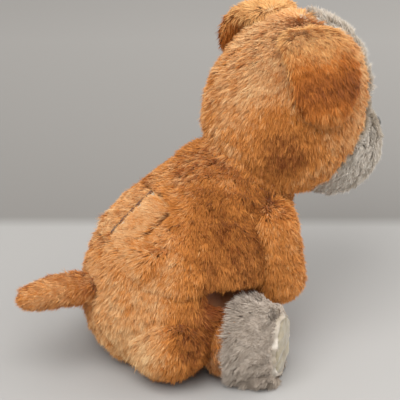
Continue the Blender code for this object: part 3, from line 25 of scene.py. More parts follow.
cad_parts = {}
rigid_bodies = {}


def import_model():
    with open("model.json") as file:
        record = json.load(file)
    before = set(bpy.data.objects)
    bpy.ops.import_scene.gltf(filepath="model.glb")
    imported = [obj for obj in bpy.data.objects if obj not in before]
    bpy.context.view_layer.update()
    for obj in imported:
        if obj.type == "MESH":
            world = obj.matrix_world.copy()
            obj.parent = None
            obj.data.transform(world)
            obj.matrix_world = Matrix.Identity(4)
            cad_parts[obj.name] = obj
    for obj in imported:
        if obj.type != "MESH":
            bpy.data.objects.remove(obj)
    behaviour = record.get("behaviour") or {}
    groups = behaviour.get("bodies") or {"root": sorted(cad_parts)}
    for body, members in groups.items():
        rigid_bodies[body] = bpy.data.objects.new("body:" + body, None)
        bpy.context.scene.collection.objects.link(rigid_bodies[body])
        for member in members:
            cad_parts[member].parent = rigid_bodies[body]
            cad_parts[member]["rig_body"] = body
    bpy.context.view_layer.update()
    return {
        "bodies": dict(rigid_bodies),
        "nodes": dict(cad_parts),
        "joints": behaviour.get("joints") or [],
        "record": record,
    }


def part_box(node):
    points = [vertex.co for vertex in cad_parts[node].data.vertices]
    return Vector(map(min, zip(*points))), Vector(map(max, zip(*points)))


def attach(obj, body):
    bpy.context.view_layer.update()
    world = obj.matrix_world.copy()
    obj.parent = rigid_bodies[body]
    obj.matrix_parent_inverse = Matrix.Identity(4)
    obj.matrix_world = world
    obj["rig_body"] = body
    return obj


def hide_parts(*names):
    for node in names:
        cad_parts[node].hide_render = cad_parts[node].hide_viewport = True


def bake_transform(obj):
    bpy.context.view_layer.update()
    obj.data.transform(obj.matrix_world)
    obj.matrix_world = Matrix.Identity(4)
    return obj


LOG = logging.getLogger("plush_puppy")
FUR_MAP = "OFBake"  # U is the tone of a strand and V runs along it
FLOOR_CLEARANCE = 0.0006
SEED = 20260
SIDES = ("right", "left")
OUTWARD = {"right": -1.0, "left": 1.0}  # the sign of X on each side of the toy

Field = Callable[[np.ndarray, np.ndarray], np.ndarray]


class Tone(Enum):
    """The palette, as sRGB hex codes."""

    GOLD_DEEP = "#82400f"
    GOLD = "#dc9043"
    GOLD_LIGHT = "#f8d5a0"
    EAR_DEEP = "#874614"
    EAR = "#c47328"
    EAR_LIGHT = "#ecba78"
    CREAM_DEEP = "#cfc3b5"
    CREAM = "#e4dbcf"
    CREAM_LIGHT = "#f7f2e9"
    PAW_DEEP = "#a59686"
    PAW = "#bfb1a3"
    PAW_LIGHT = "#ded5c9"
    GOLD_BACKING = "#74431d"
    NAP_BACKING = "#b06f33"
    CREAM_BACKING = "#a89a86"
    SOLE = "#93866f"
    SOLE_LIGHT = "#b3a78b"
    TAPE_CREAM = "#b3a07a"
    TAPE_BROWN = "#3a2416"
    EYE = "#1a0d06"
    NOSE = "#141111"
    GREY_PLASTIC = "#6f7073"
    WHITE_PLASTIC = "#dfdcd2"
    BLACK_PLASTIC = "#1d1e20"
    BOARD = "#1e5a38"
    STEEL = "#b9bbbd"
    COPPER = "#b8733f"
    WRAP = "#2e3a52"
    FLOOR = "#aeaca9"
    # the backdrop painted on the floor: painted shade at its foot, lightening to painted light at its top
    WALL_PAINTED_SHADE = "#8b8884"
    WALL_TOP_PAINTED_LIGHT = "#a6a39f"


def linear(code: str) -> tuple[float, float, float]:
    """Turns an sRGB hex code into linear red, green and blue.

    Args:
        code: A colour such as "#cf8a48".

    Returns:
        The three linear values from 0 to 1.
    """
    values = []
    for start in (1, 3, 5):
        share = int(code[start : start + 2], 16) / 255
        values.append(share / 12.92 if share <= 0.04045 else ((share + 0.055) / 1.055) ** 2.4)
    return tuple(values)


def unit(vectors: np.ndarray) -> np.ndarray:
    """Scales the rows of an array to length 1."""
    length = np.linalg.norm(vectors, axis=1, keepdims=True)
    return vectors / np.maximum(length, 1e-9)


def along_surface(vectors: np.ndarray, normals: np.ndarray) -> np.ndarray:
    """Takes away each vector's share along its normal and scales it to length 1."""
    return unit(vectors - normals * (vectors * normals).sum(1, keepdims=True))


def bell(values: np.ndarray, width: float) -> np.ndarray:
    """Gives 1 where a value is 0, and falls off smoothly over the width on both sides."""
    return np.exp(-((values / width) ** 2))


def gate(excess: np.ndarray, length: float) -> np.ndarray:
    """Rises evenly from 0, where the excess is 0 or less, to 1, where it reaches the length."""
    return np.clip(excess / length, 0, 1)


def sideways(normals: np.ndarray, gain: float, less: float = 0.0) -> np.ndarray:
    """Gives 1 where a surface looks to either side, and 0 where it looks along the toy."""
    return np.clip(gain * np.abs(normals[:, 0]) - less, 0, 1)


def past_box(points: np.ndarray, low: np.ndarray, high: np.ndarray) -> np.ndarray:
    """Gives how far each place lies outside a box, measured along the axes."""
    return np.maximum(np.maximum(low - points, points - high), 0).max(axis=1)


def lift(points: np.ndarray) -> None:
    """Keeps places off the floor."""
    points[:, 2] = np.maximum(points[:, 2], FLOOR_CLEARANCE)


def move(mesh: bpy.types.Mesh, points: np.ndarray) -> None:
    """Moves a mesh's corners to new places."""
    mesh.vertices.foreach_set("co", points.ravel())
    mesh.update()


def box_of(node: str) -> tuple[np.ndarray, np.ndarray]:
    """Returns the low and the high corner of a node's box."""
    low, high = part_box(node)
    return np.array(low), np.array(high)


def bearing(azimuth: float, elevation: float) -> Vector:
    """Returns the direction from the toy to where an azimuth and an elevation in degrees point."""
    turn = math.radians(azimuth)
    rise = math.radians(elevation)
    return Vector((math.sin(turn) * math.cos(rise), -math.cos(turn) * math.cos(rise), math.sin(rise)))


def stand_off(item: bpy.types.Object, target: tuple, direction: Vector, distance: float) -> None:
    """Puts a lamp or the camera at a distance from a place, and turns it to look back at it."""
    item.location = Vector(target) + direction * distance
    item.rotation_euler = direction.to_track_quat("Z", "Y").to_euler()


def add_object(name: str, data: bpy.types.ID) -> bpy.types.Object:
    """Adds an object to the scene."""
    item = bpy.data.objects.new(name, data)
    bpy.context.scene.collection.objects.link(item)
    return item


def ripple(points: np.ndarray, size: float, seed: int) -> np.ndarray:
    """Smooth irregular values from about -1 to 1 over space.

    Args:
        points: The places, one per row, in metres.
        size: The usual distance between a crest and the next, in metres.
        seed: Picks the pattern.

    Returns:
        One value per place.
    """
    waves, height = 5, 2.6  # so many waves together seldom rise higher than that
    chance = np.random.default_rng(seed)
    total = np.zeros(len(points))
    for _ in range(waves):
        direction = unit(chance.normal(size=(1, 3)))[0]
        pitch = size * chance.uniform(0.7, 1.5)
        total += np.sin(points @ direction * (math.tau / pitch) + chance.uniform(0, math.tau))
    return total / height


# ---------------------------------------------------------------- materials


def connect(tree: bpy.types.NodeTree, node: bpy.types.Node, links: dict) -> None:
    """Links or fills a node's inputs.

    Args:
        tree: The material's node tree.
        node: The node.
        links: For each input's name or number, an output socket or a constant.
    """
    for name, value in links.items():
        if isinstance(value, bpy.types.NodeSocket):
            tree.links.new(value, node.inputs[name])
        else:
            node.inputs[name].default_value = value


def add_node(tree: bpy.types.NodeTree, kind: str, links: dict | None = None, **settings) -> bpy.types.Node:
    """Adds a shader node, sets its properties and links or fills its inputs.

    Args:
        tree: The material's node tree.
        kind: The node's type name.
        links: The inputs, as connect takes them.
        settings: Properties of the node.

    Returns:
        The new node.
    """
    node = tree.nodes.new(kind)
    for name, value in settings.items():
        setattr(node, name, value)
    connect(tree, node, links or {})
    return node


def ramp(tree: bpy.types.NodeTree, factor: bpy.types.NodeSocket, *stops: tuple) -> bpy.types.NodeSocket:
    """Adds a colour ramp.

    Args:
        tree: The material's node tree.
        factor: What the ramp reads.
        stops: The place of each stop from 0 to 1, with its tone or its linear colour.

    Returns:
        The ramp's colour output.
    """
    node = add_node(tree, "ShaderNodeValToRGB", {"Fac": factor})
    elements = node.color_ramp.elements
    while len(elements) < len(stops):
        elements.new(0.5)
    for element, (place, colour) in zip(elements, stops):
        element.position = place
        element.color = (*(linear(colour.value) if isinstance(colour, Tone) else colour), 1)
    return node.outputs["Color"]


def bump(tree: bpy.types.NodeTree, height: bpy.types.NodeSocket, strength: float) -> bpy.types.NodeSocket:
    """Adds a bump of up to 0.2 mm and returns its normal output."""
    return add_node(tree, "ShaderNodeBump", {
        "Height": height, "Strength": strength, "Distance": 0.0002,
    }).outputs["Normal"]


def shader_of(name: str) -> tuple[bpy.types.Material, bpy.types.NodeTree, bpy.types.Node]:
    """Adds a material and returns it with its node tree and its Principled shader."""
    material = bpy.data.materials.new(name)
    material.use_nodes = True
    tree = material.node_tree
    return material, tree, tree.nodes["Principled BSDF"]


@dataclass(frozen=True)
class FurFinish:
    """The colours of one kind of pile: acrylic fibres, with painted shade that darkens them towards the root.
    """

    name: str
    deep: Tone
    body: Tone
    light: Tone
    # how dark the painted shade at the roots is
    root_shade: float = 0.66
    roughness: float = 0.62
    sheen: float = 0.08

    def material(self) -> bpy.types.Material:
        """Builds the pile's material, whose colour depends only on the strand's own map."""
        material, tree, shader = shader_of(self.name)
        chart = add_node(tree, "ShaderNodeUVMap", uv_map=FUR_MAP)
        parts = add_node(tree, "ShaderNodeSeparateXYZ", {0: chart.outputs["UV"]})
        tone = ramp(tree, parts.outputs["X"], (0.05, self.deep), (0.5, self.body), (0.95, self.light))
        along = add_node(tree, "ShaderNodeMath", {0: parts.outputs["Y"], 1: 1 / Strands.MAP_LENGTH},
                         operation="MULTIPLY")
        # painted shade along each strand: darkest and warmest at the root, where the coat shades itself, full
        # colour at the tip
        shade = self.root_shade
        painted_root_shade = ramp(tree, along.outputs[0], (0.0, (shade, 0.9 * shade, 0.8 * shade)),
                    (0.45, (0.93, 0.91, 0.88)), (1.0, (1.0, 1.0, 1.0)))
        mixed = add_node(tree, "ShaderNodeMix", {"Factor": 1.0, 6: tone, 7: painted_root_shade}, data_type="RGBA",
                         blend_type="MULTIPLY")
        connect(tree, shader, {
            "Base Color": mixed.outputs[2], "Roughness": self.roughness, "Sheen Weight": self.sheen,
            "Specular IOR Level": 0.25,
        })
        return material


@dataclass(frozen=True)
class ClothFinish:
    """A knitted or satin backing with a fine weave; pitch is the weave's size in mm."""

    name: str
    colour: Tone
    light: Tone
    pitch_mm: float = 0.6
    roughness: float = 0.85
    sheen: float = 0.2
    bump: float = 0.25

    def material(self) -> bpy.types.Material:
        """Builds the cloth from waves across two directions and slow colour changes."""
        material, tree, shader = shader_of(self.name)
        place = add_node(tree, "ShaderNodeTexCoord").outputs["Object"]
        # slow patches of about 17 mm, as wear and brushing leave
        patches = add_node(tree, "ShaderNodeTexNoise", {"Vector": place, "Scale": 1 / 0.017, "Detail": 3.0})
        tone = ramp(tree, patches.outputs["Fac"], (0.35, self.colour), (0.72, self.light))
        scale = math.pi / (self.pitch_mm * 0.001) / 10
        weft = add_node(tree, "ShaderNodeTexWave", {"Vector": place, "Scale": scale}, bands_direction="X")
        warp = add_node(tree, "ShaderNodeTexWave", {"Vector": place, "Scale": scale}, bands_direction="Z")
        weave = add_node(tree, "ShaderNodeMath", {0: weft.outputs["Fac"], 1: warp.outputs["Fac"]},
                         operation="ADD")
        connect(tree, shader, {
            "Base Color": tone, "Normal": bump(tree, weave.outputs[0], self.bump),
            "Roughness": self.roughness, "Sheen Weight": self.sheen,
        })
        return material


@dataclass(frozen=True)
class HardFinish:
    """Moulded plastic, steel, glass laminate or a polished eye."""

    name: str
    colour: Tone
    roughness: float
    metallic: float = 0.0
    grain_mm: float = 0.5
    grain_depth: float = 0.05
    mottle: float = 0.12
    coat: float = 0.0

    def material(self) -> bpy.types.Material:
        """Builds the finish from a fine grain, faint mottling and slightly uneven gloss."""
        material, tree, shader = shader_of(self.name)
        place = add_node(tree, "ShaderNodeTexCoord").outputs["Object"]
        colour = linear(self.colour.value)
        # faint clouds of about 11 mm, from handling and from the flow in the mould
        cloud = add_node(tree, "ShaderNodeTexNoise", {"Vector": place, "Scale": 1 / 0.011, "Detail": 4.0})
        darker = tuple(value * (1 - self.mottle) for value in colour)
        lighter = tuple(min(1.0, value * (1 + self.mottle)) for value in colour)
        gloss = add_node(tree, "ShaderNodeMapRange", {
            "Value": cloud.outputs["Fac"], "To Min": 0.85 * self.roughness,
            "To Max": min(1.0, 1.2 * self.roughness),
        })
        grain = add_node(tree, "ShaderNodeTexNoise", {
            "Vector": place, "Scale": 1000 / self.grain_mm, "Detail": 2.0,
        })
        connect(tree, shader, {
            "Base Color": ramp(tree, cloud.outputs["Fac"], (0.3, darker), (0.7, lighter)),
            "Normal": bump(tree, grain.outputs["Fac"], self.grain_depth),
            "Roughness": gloss.outputs["Result"], "Metallic": self.metallic, "Coat Weight": self.coat,
        })
        return material


# Acrylic pile: dull fibres with painted shade at the roots, where the coat shades itself, and pale tips, so
# the coat looks deep and soft. The ear's is redder, and the cream ones get less of the painted shade at the
# roots.
GOLD_FUR = FurFinish("golden acrylic pile", Tone.GOLD_DEEP, Tone.GOLD, Tone.GOLD_LIGHT)
EAR_FUR = FurFinish("ear acrylic pile", Tone.EAR_DEEP, Tone.EAR, Tone.EAR_LIGHT)
CREAM_FUR = FurFinish("cream acrylic pile", Tone.CREAM_DEEP, Tone.CREAM, Tone.CREAM_LIGHT, root_shade=0.80)
PAW_FUR = FurFinish("paw acrylic pile", Tone.PAW_DEEP, Tone.PAW, Tone.PAW_LIGHT, root_shade=0.76)
# Knitted backing: matt, with a fine rib that shows only between tufts. The brushed one is nearly as light as
# the pile over it.
GOLD_CLOTH = ClothFinish("golden knitted backing", Tone.GOLD_BACKING, Tone.GOLD_DEEP)
NAPPED_CLOTH = ClothFinish("golden backing brushed to a nap", Tone.NAP_BACKING, Tone.GOLD, sheen=0.08)
CREAM_CLOTH = ClothFinish("cream knitted backing", Tone.CREAM_BACKING, Tone.CREAM)
# Satin: smoother than the pile round it, so its creases catch soft yellowish lights.
SOLE_CLOTH = ClothFinish(
    "sole satin", Tone.SOLE, Tone.SOLE_LIGHT, pitch_mm=0.4, roughness=0.45, sheen=0.4, bump=0.12,
)
# Hook and loop tape: rough and woven, with no shine, one pale and one dark brown, which gives the dark line
# along the slit.
CREAM_TAPE = ClothFinish("cream loop tape", Tone.TAPE_CREAM, Tone.CREAM_LIGHT, pitch_mm=0.5, bump=0.6)
BROWN_TAPE = ClothFinish("brown hook tape", Tone.TAPE_BROWN, Tone.EAR_DEEP, pitch_mm=0.5, bump=0.6)
# Hard finishes: broad soft lights on moulded plastic, small sharp ones on steel, copper and the board's
# laminate, a clear wet-looking spark in the eyes and a duller one on the nose.
HARD_FINISHES = {
    "grey": HardFinish("moulded grey plastic", Tone.GREY_PLASTIC, 0.48, grain_depth=0.12),
    "white": HardFinish("white acetal", Tone.WHITE_PLASTIC, 0.38),
    "black": HardFinish("black moulded plastic", Tone.BLACK_PLASTIC, 0.5),
    "board": HardFinish("green board laminate", Tone.BOARD, 0.35, grain_mm=0.3),
    "steel": HardFinish("plated steel", Tone.STEEL, 0.3, metallic=1.0, grain_mm=0.2),
    "copper": HardFinish("copper winding", Tone.COPPER, 0.35, metallic=1.0, grain_mm=0.2, grain_depth=0.3),
    "wrap": HardFinish("printed cell wrap, blank", Tone.WRAP, 0.3, metallic=0.3),
    "eye": HardFinish("polished amber-black eye", Tone.EYE, 0.06, coat=1.0, grain_depth=0.0),
    "nose": HardFinish("satin black nose", Tone.NOSE, 0.28, grain_mm=0.7, grain_depth=0.25, coat=0.3),
}
HARD_NODES = {
    "grey": ("housing_base", "housing_lid", "battery_door", "skull_base", "skull_cap", "snout_frame",
             "neck_can", "neck_cover", "neck_post", "jaw_frame"),
    "white": ("neck_gear", "neck_pinion", "tail_arm", "tail_pinion", "head_button", "power_switch"),
    "black": ("speaker",),
    "board": ("circuit_board",),
    "steel": (*(f"housing_screw_{number}" for number in (1, 2, 3, 4)), "neck_motor", "tail_motor", "tail_pin",
              "jaw_pin", "jaw_magnet", "battery_contact_right", "battery_contact_left"),
    "copper": ("jaw_coil",),
    "wrap": ("cell_1", "cell_2", "cell_3"),
    "eye": ("eye_right", "eye_left"),
    "nose": ("nose",),
}


# ---------------------------------------------------------------- soft pieces


class Surface:
    """The triangles of a mesh as arrays, for growing fur and for measuring."""

    def __init__(self, mesh: bpy.types.Mesh):
        """Reads a mesh.

        Args:
            mesh: The mesh, in world coordinates.
        """
        mesh.calc_loop_triangles()
        self.points = self.read(mesh.vertices, "co", 3)
        self.normals = self.read(mesh.vertices, "normal", 3)
        self.triangles = self.read(mesh.loop_triangles, "vertices", 3, np.int32)

    @staticmethod
    def read(items: bpy.types.bpy_prop_collection, name: str, width: int, kind: type = float) -> np.ndarray:
        """Returns one property of a mesh's items as an array, one row per item."""
        values = np.zeros(len(items) * width, kind)
        items.foreach_get(name, values)
        return values.reshape(-1, width)

    def corners(self) -> tuple[np.ndarray, np.ndarray, np.ndarray]:
        """Returns the three corners of every triangle."""
        return tuple(self.points[self.triangles[:, corner]] for corner in range(3))

    def areas(self) -> np.ndarray:
        """Returns the area of every triangle."""
        first, second, third = self.corners()
        return 0.5 * np.linalg.norm(np.cross(second - first, third - first), axis=1)

    def middles(self) -> tuple[np.ndarray, np.ndarray]:
        """Returns the middle and the mean normal of every triangle."""
        first, second, third = self.corners()
        normals = sum(self.normals[self.triangles[:, corner]] for corner in range(3))
        return (first + second + third) / 3, unit(normals)

    def tree(self) -> BVHTree:
        """Returns a search tree over the triangles."""
        return BVHTree.FromPolygons(self.points.tolist(), self.triangles.tolist())


def inside(tree: BVHTree, points: np.ndarray, reach: float) -> np.ndarray:
    """Tells which points lie inside a closed surface, or nearer to it than reach.

    Args:
        tree: The surface's search tree.
        points: The places to test.
        reach: How far outside the surface still counts.

    Returns:
        One truth value per place.
    """
    found = np.zeros(len(points), bool)
    for index, point in enumerate(points.tolist()):
        place, normal, _, distance = tree.find_nearest(point)
        found[index] = distance < reach or (Vector(point) - place).dot(normal) < 0
    return found


@dataclass
class SoftBody:
    """All the soft nodes of the frame, and where each one touches the others.

    Attributes:
        nodes: The names of the soft nodes.
        trees: Each node's search tree.
    """

    frame: dict
    nodes: tuple[str, ...]
    trees: dict[str, BVHTree] = field(default_factory=dict)

    def __post_init__(self) -> None:
        """Makes each node's search tree."""
        for name in self.nodes:
            self.trees[name] = Surface(self.frame["nodes"][name].data).tree()

    def covered(self, own: tuple[str, ...], points: np.ndarray, reach: float) -> np.ndarray:
        """Tells which points lie in or against a soft node that isn't one's own."""
        found = np.zeros(len(points), bool)
        for name, tree in self.trees.items():
            low, high = box_of(name)
            near = ((points > low - reach) & (points < high + reach)).all(1) & ~found
            if name not in own and near.any():
                found[near] = inside(tree, points[near], reach)
        return found

    def seam(self, nodes: tuple[str, ...], points: np.ndarray, width: float = 0.005) -> np.ndarray:
        """Gives 1 where two of the nodes meet and 0 well away from there.

        Args:
            nodes: The nodes that are sewn together.
            points: The places to test.
            width: Half the width of the seam.

        Returns:
            One value per place.
        """
        nearest = np.full((2, len(points)), 3 * width)
        for name in nodes:
            nearest = np.sort(np.vstack([nearest, self.distance(name, points, 3 * width)]), axis=0)[:2]
        return bell(nearest[1], width)

    def distance(self, node: str, points: np.ndarray, reach: float) -> np.ndarray:
        """Measures how far points are from a node's surface.

        Args:
            node: The soft node.
            points: The places to measure from.
            reach: The greatest distance of interest, which places further off get.

        Returns:
            One distance per place, at most reach.
        """
        low, high = box_of(node)
        found = np.full(len(points), reach)
        close = np.flatnonzero(((points > low - reach) & (points < high + reach)).all(1))
        if len(close):
            found[close] = [self.trees[node].find_nearest(point)[3] for point in points[close].tolist()]
        return np.minimum(found, reach)

    def joined(self, nodes: tuple[str, ...]) -> bpy.types.Mesh:
        """Returns one welded mesh of several nodes."""
        work = bmesh.new()
        for name in nodes:
            work.from_mesh(self.frame["nodes"][name].data)
        bmesh.ops.remove_doubles(work, verts=work.verts, dist=1e-6)
        mesh = bpy.data.meshes.new(nodes[0])
        work.to_mesh(mesh)
        work.free()
        return mesh


@dataclass
class Skin:
    """A stuffed skin made from soft nodes of one body: rounded and slimmer.

    Attributes:
        soft: All the soft nodes.
        nodes: The nodes that it stands for.
        inset: How far under their surface it lies, which leaves room for the pile.
        voxel: The size of its first even mesh.
        smoothing: How many times its corners are eased.
        fill: How full it is, from 0 to 1; not used.
        lumps: How far the stuffing pushes it in and out.
        creases: How deep the seams between its nodes are drawn in.
        relief: Gives how far each place is drawn in, per place and normal.
        toward: A fixed direction to slim it in, for a thin piece.
        ignored: Soft nodes against which it is slimmed all the same.
        contact: Nearer than this to another soft piece, it isn't slimmed.
        reshape: Moves the corners of the joined nodes before the skin is made.
        spared: Gives how far each place is spared from the slimming, from 0 to 1.
        settle: Moves the finished skin's places, by their normals, for a recess that the even mesh closes.
        own: The search tree over its own nodes, set when it is built.
        piece: The skin's object, set when it is built.
    """

    soft: SoftBody
    nodes: tuple[str, ...]
    inset: float = 0.005
    voxel: float = 0.003
    smoothing: int = 12
    fill: float = 0.8
    lumps: float = 0.0
    creases: float = 0.0
    relief: Field | None = None
    toward: tuple[float, float, float] | None = None
    ignored: tuple[str, ...] = ()
    contact: float = 0.0035
    reshape: Callable[[np.ndarray], np.ndarray] | None = None
    spared: Field | None = None
    settle: Field | None = None
    own: BVHTree = field(init=False)
    piece: bpy.types.Object = field(init=False)

    SPREAD = 0.008  # how far the slimming is evened out
    EDGE = 0.006  # over this height a thin piece's slimming sets in
    LUMP_SIZES = (0.030, 0.016)  # how far apart the stuffing's lumps lie

    def build(self, cloth: bpy.types.Material) -> bpy.types.Object:
        """Makes the skin and lets it ride on its nodes' body.

        Args:
            cloth: The backing's material.

        Returns:
            The skin's object.
        """
        source = self.soft.joined(self.nodes)
        if self.reshape is not None:
            move(source, self.reshape(Surface(source).points))
        self.own = Surface(source).tree()
        mesh = self._even_copy(source)
        self._sink(mesh)
        mesh.materials.clear()
        mesh.materials.append(cloth)
        mesh.shade_smooth()
        self.piece = add_object(f"{self.nodes[0]}_skin", mesh)
        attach(self.piece, self.soft.frame["nodes"][self.nodes[0]]["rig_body"])
        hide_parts(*self.nodes)
        return self.piece

    def _even_copy(self, mesh: bpy.types.Mesh) -> bpy.types.Mesh:
        """Returns a copy with an even, eased mesh."""
        carrier = add_object("carrier", mesh)
        remesh = carrier.modifiers.new("even", "REMESH")
        remesh.mode = "VOXEL"
        remesh.voxel_size = self.voxel
        easing = carrier.modifiers.new("ease", "SMOOTH")
        easing.factor = 0.5
        easing.iterations = self.smoothing
        depsgraph = bpy.context.evaluated_depsgraph_get()
        even = bpy.data.meshes.new_from_object(carrier.evaluated_get(depsgraph))
        bpy.data.objects.remove(carrier)
        return even

    def _sink(self, mesh: bpy.types.Mesh) -> None:
        """Slims the outer surface, and leaves cavity walls and the faces against other pieces."""
        surface = Surface(mesh)
        free = self.open_air(surface.points, surface.normals, self.own)
        free = free * ~self.soft.covered(self.nodes + self.ignored, surface.points, self.contact)
        if self.toward is None:
            heading, share = self._evened(mesh, surface, free)
        else:
            heading, share = self._one_way(surface)
        if self.spared is not None:
            share = share * (1 - self.spared(surface.points, surface.normals))
        points = surface.points - heading * (self.inset * share)[:, None]
        if self.lumps:
            wide, narrow = self.LUMP_SIZES
            bulge = ripple(points, wide, 31) + 0.6 * ripple(points, narrow, 32)
            points += heading * (self.lumps * share * bulge)[:, None]
        if self.creases:
            points -= heading * (self.creases * self.soft.seam(self.nodes, surface.points))[:, None]
        if self.relief is not None:
            points -= heading * self.relief(surface.points, surface.normals)[:, None]
        lift(points)
        if self.settle is not None:
            points = self.settle(points, surface.normals)
        move(mesh, points)

    def _one_way(self, surface: Surface) -> tuple[np.ndarray, np.ndarray]:
        """Slims a thin piece from above only, in the one direction given, and keeps its flat underside."""
        heading = np.array(self.toward)
        height = surface.points @ heading
        share = gate(height - height.min(), self.EDGE)
        return np.broadcast_to(heading, surface.points.shape), share

    def _evened(
        self, mesh: bpy.types.Mesh, surface: Surface, free: np.ndarray,
    ) -> tuple[np.ndarray, np.ndarray]:
        """Evens out the outward direction over the mesh, from the free places alone.

        Args:
            mesh: The skin's mesh.
            surface: The same as arrays.
            free: The share from 0 to 1 by which each corner looks out.

        Returns:
            Each corner's outward direction and how far it may move, from 0 to 1.
        """
        edges = Surface.read(mesh.edges, "vertices", 2, np.int32)
        ends = np.concatenate([edges[:, 0], edges[:, 1]])
        others = np.concatenate([edges[:, 1], edges[:, 0]])
        valence = np.maximum(np.bincount(ends, minlength=len(free)), 1)
        values = np.column_stack([surface.normals * free[:, None], free])
        for _ in range(max(2, round((self.SPREAD / self.voxel) ** 2 / 2))):
            sums = [
                np.bincount(ends, weights=values[others, column], minlength=len(free)) for column in range(4)
            ]
            values = 0.5 * values + 0.5 * np.stack(sums, axis=1) / valence[:, None]
        # a corner moves all the way where two fifths of its surroundings look out
        return unit(values[:, :3]), np.clip(2.5 * values[:, 3], 0, 1)

    @staticmethod
    def open_air(points: np.ndarray, normals: np.ndarray, own: BVHTree, depth: float = 0.0) -> np.ndarray:
        """Gives 1 where a surface looks out into the open and 0 where it faces a wall of its own.

        Args:
            points: Places on the surface.
            normals: The surface's normals there.
            own: The surface of the nodes themselves.
            depth: How far the places lie under the nodes' surface.

        Returns:
            One value per place.
        """
        start, reach, least = 0.003, 0.12, 0.001  # where a ray starts, how far it looks and what is too near
        free = np.ones(len(points))
        for index, (point, normal) in enumerate(zip(points.tolist(), normals.tolist())):
            ahead = Vector(normal)
            hit = own.ray_cast(Vector(point) + ahead * (start + depth), ahead, reach)
            if hit[0] is not None and hit[3] > least:
                free[index] = 0
        return free


@dataclass
class Coat:
    """Fur on a skin: how long, how dense, which way it lies and how its tone changes.

    Attributes:
        finish: The pile's colours.
        flow: Gives the direction that the pile is combed in, per place and normal.
        tone: Gives the mean tone from 0, deep, to 1, light, per place and normal, with painted light and
            shade in it.
        length: The usual length of a strand.
        strands: How many strands there are.
        lean: The angle between a strand and the skin's normal.
        width: The width of a strand's root.
        keep: Gives the share of the strands to keep, per place and normal.
        scale: Multiplies the length, per place and normal.
        clump: The size of the tufts that the strands gather into.
        droop: How far a tip sinks, as a share of the length.
    """

    finish: FurFinish
    flow: Field
    tone: Field
    length: float = 0.0095
    strands: int = 20000
    lean: float = 45.0
    width: float = 0.0008
    keep: Field | None = None
    scale: Field | None = None
    clump: float = 0.0032
    droop: float = 0.05


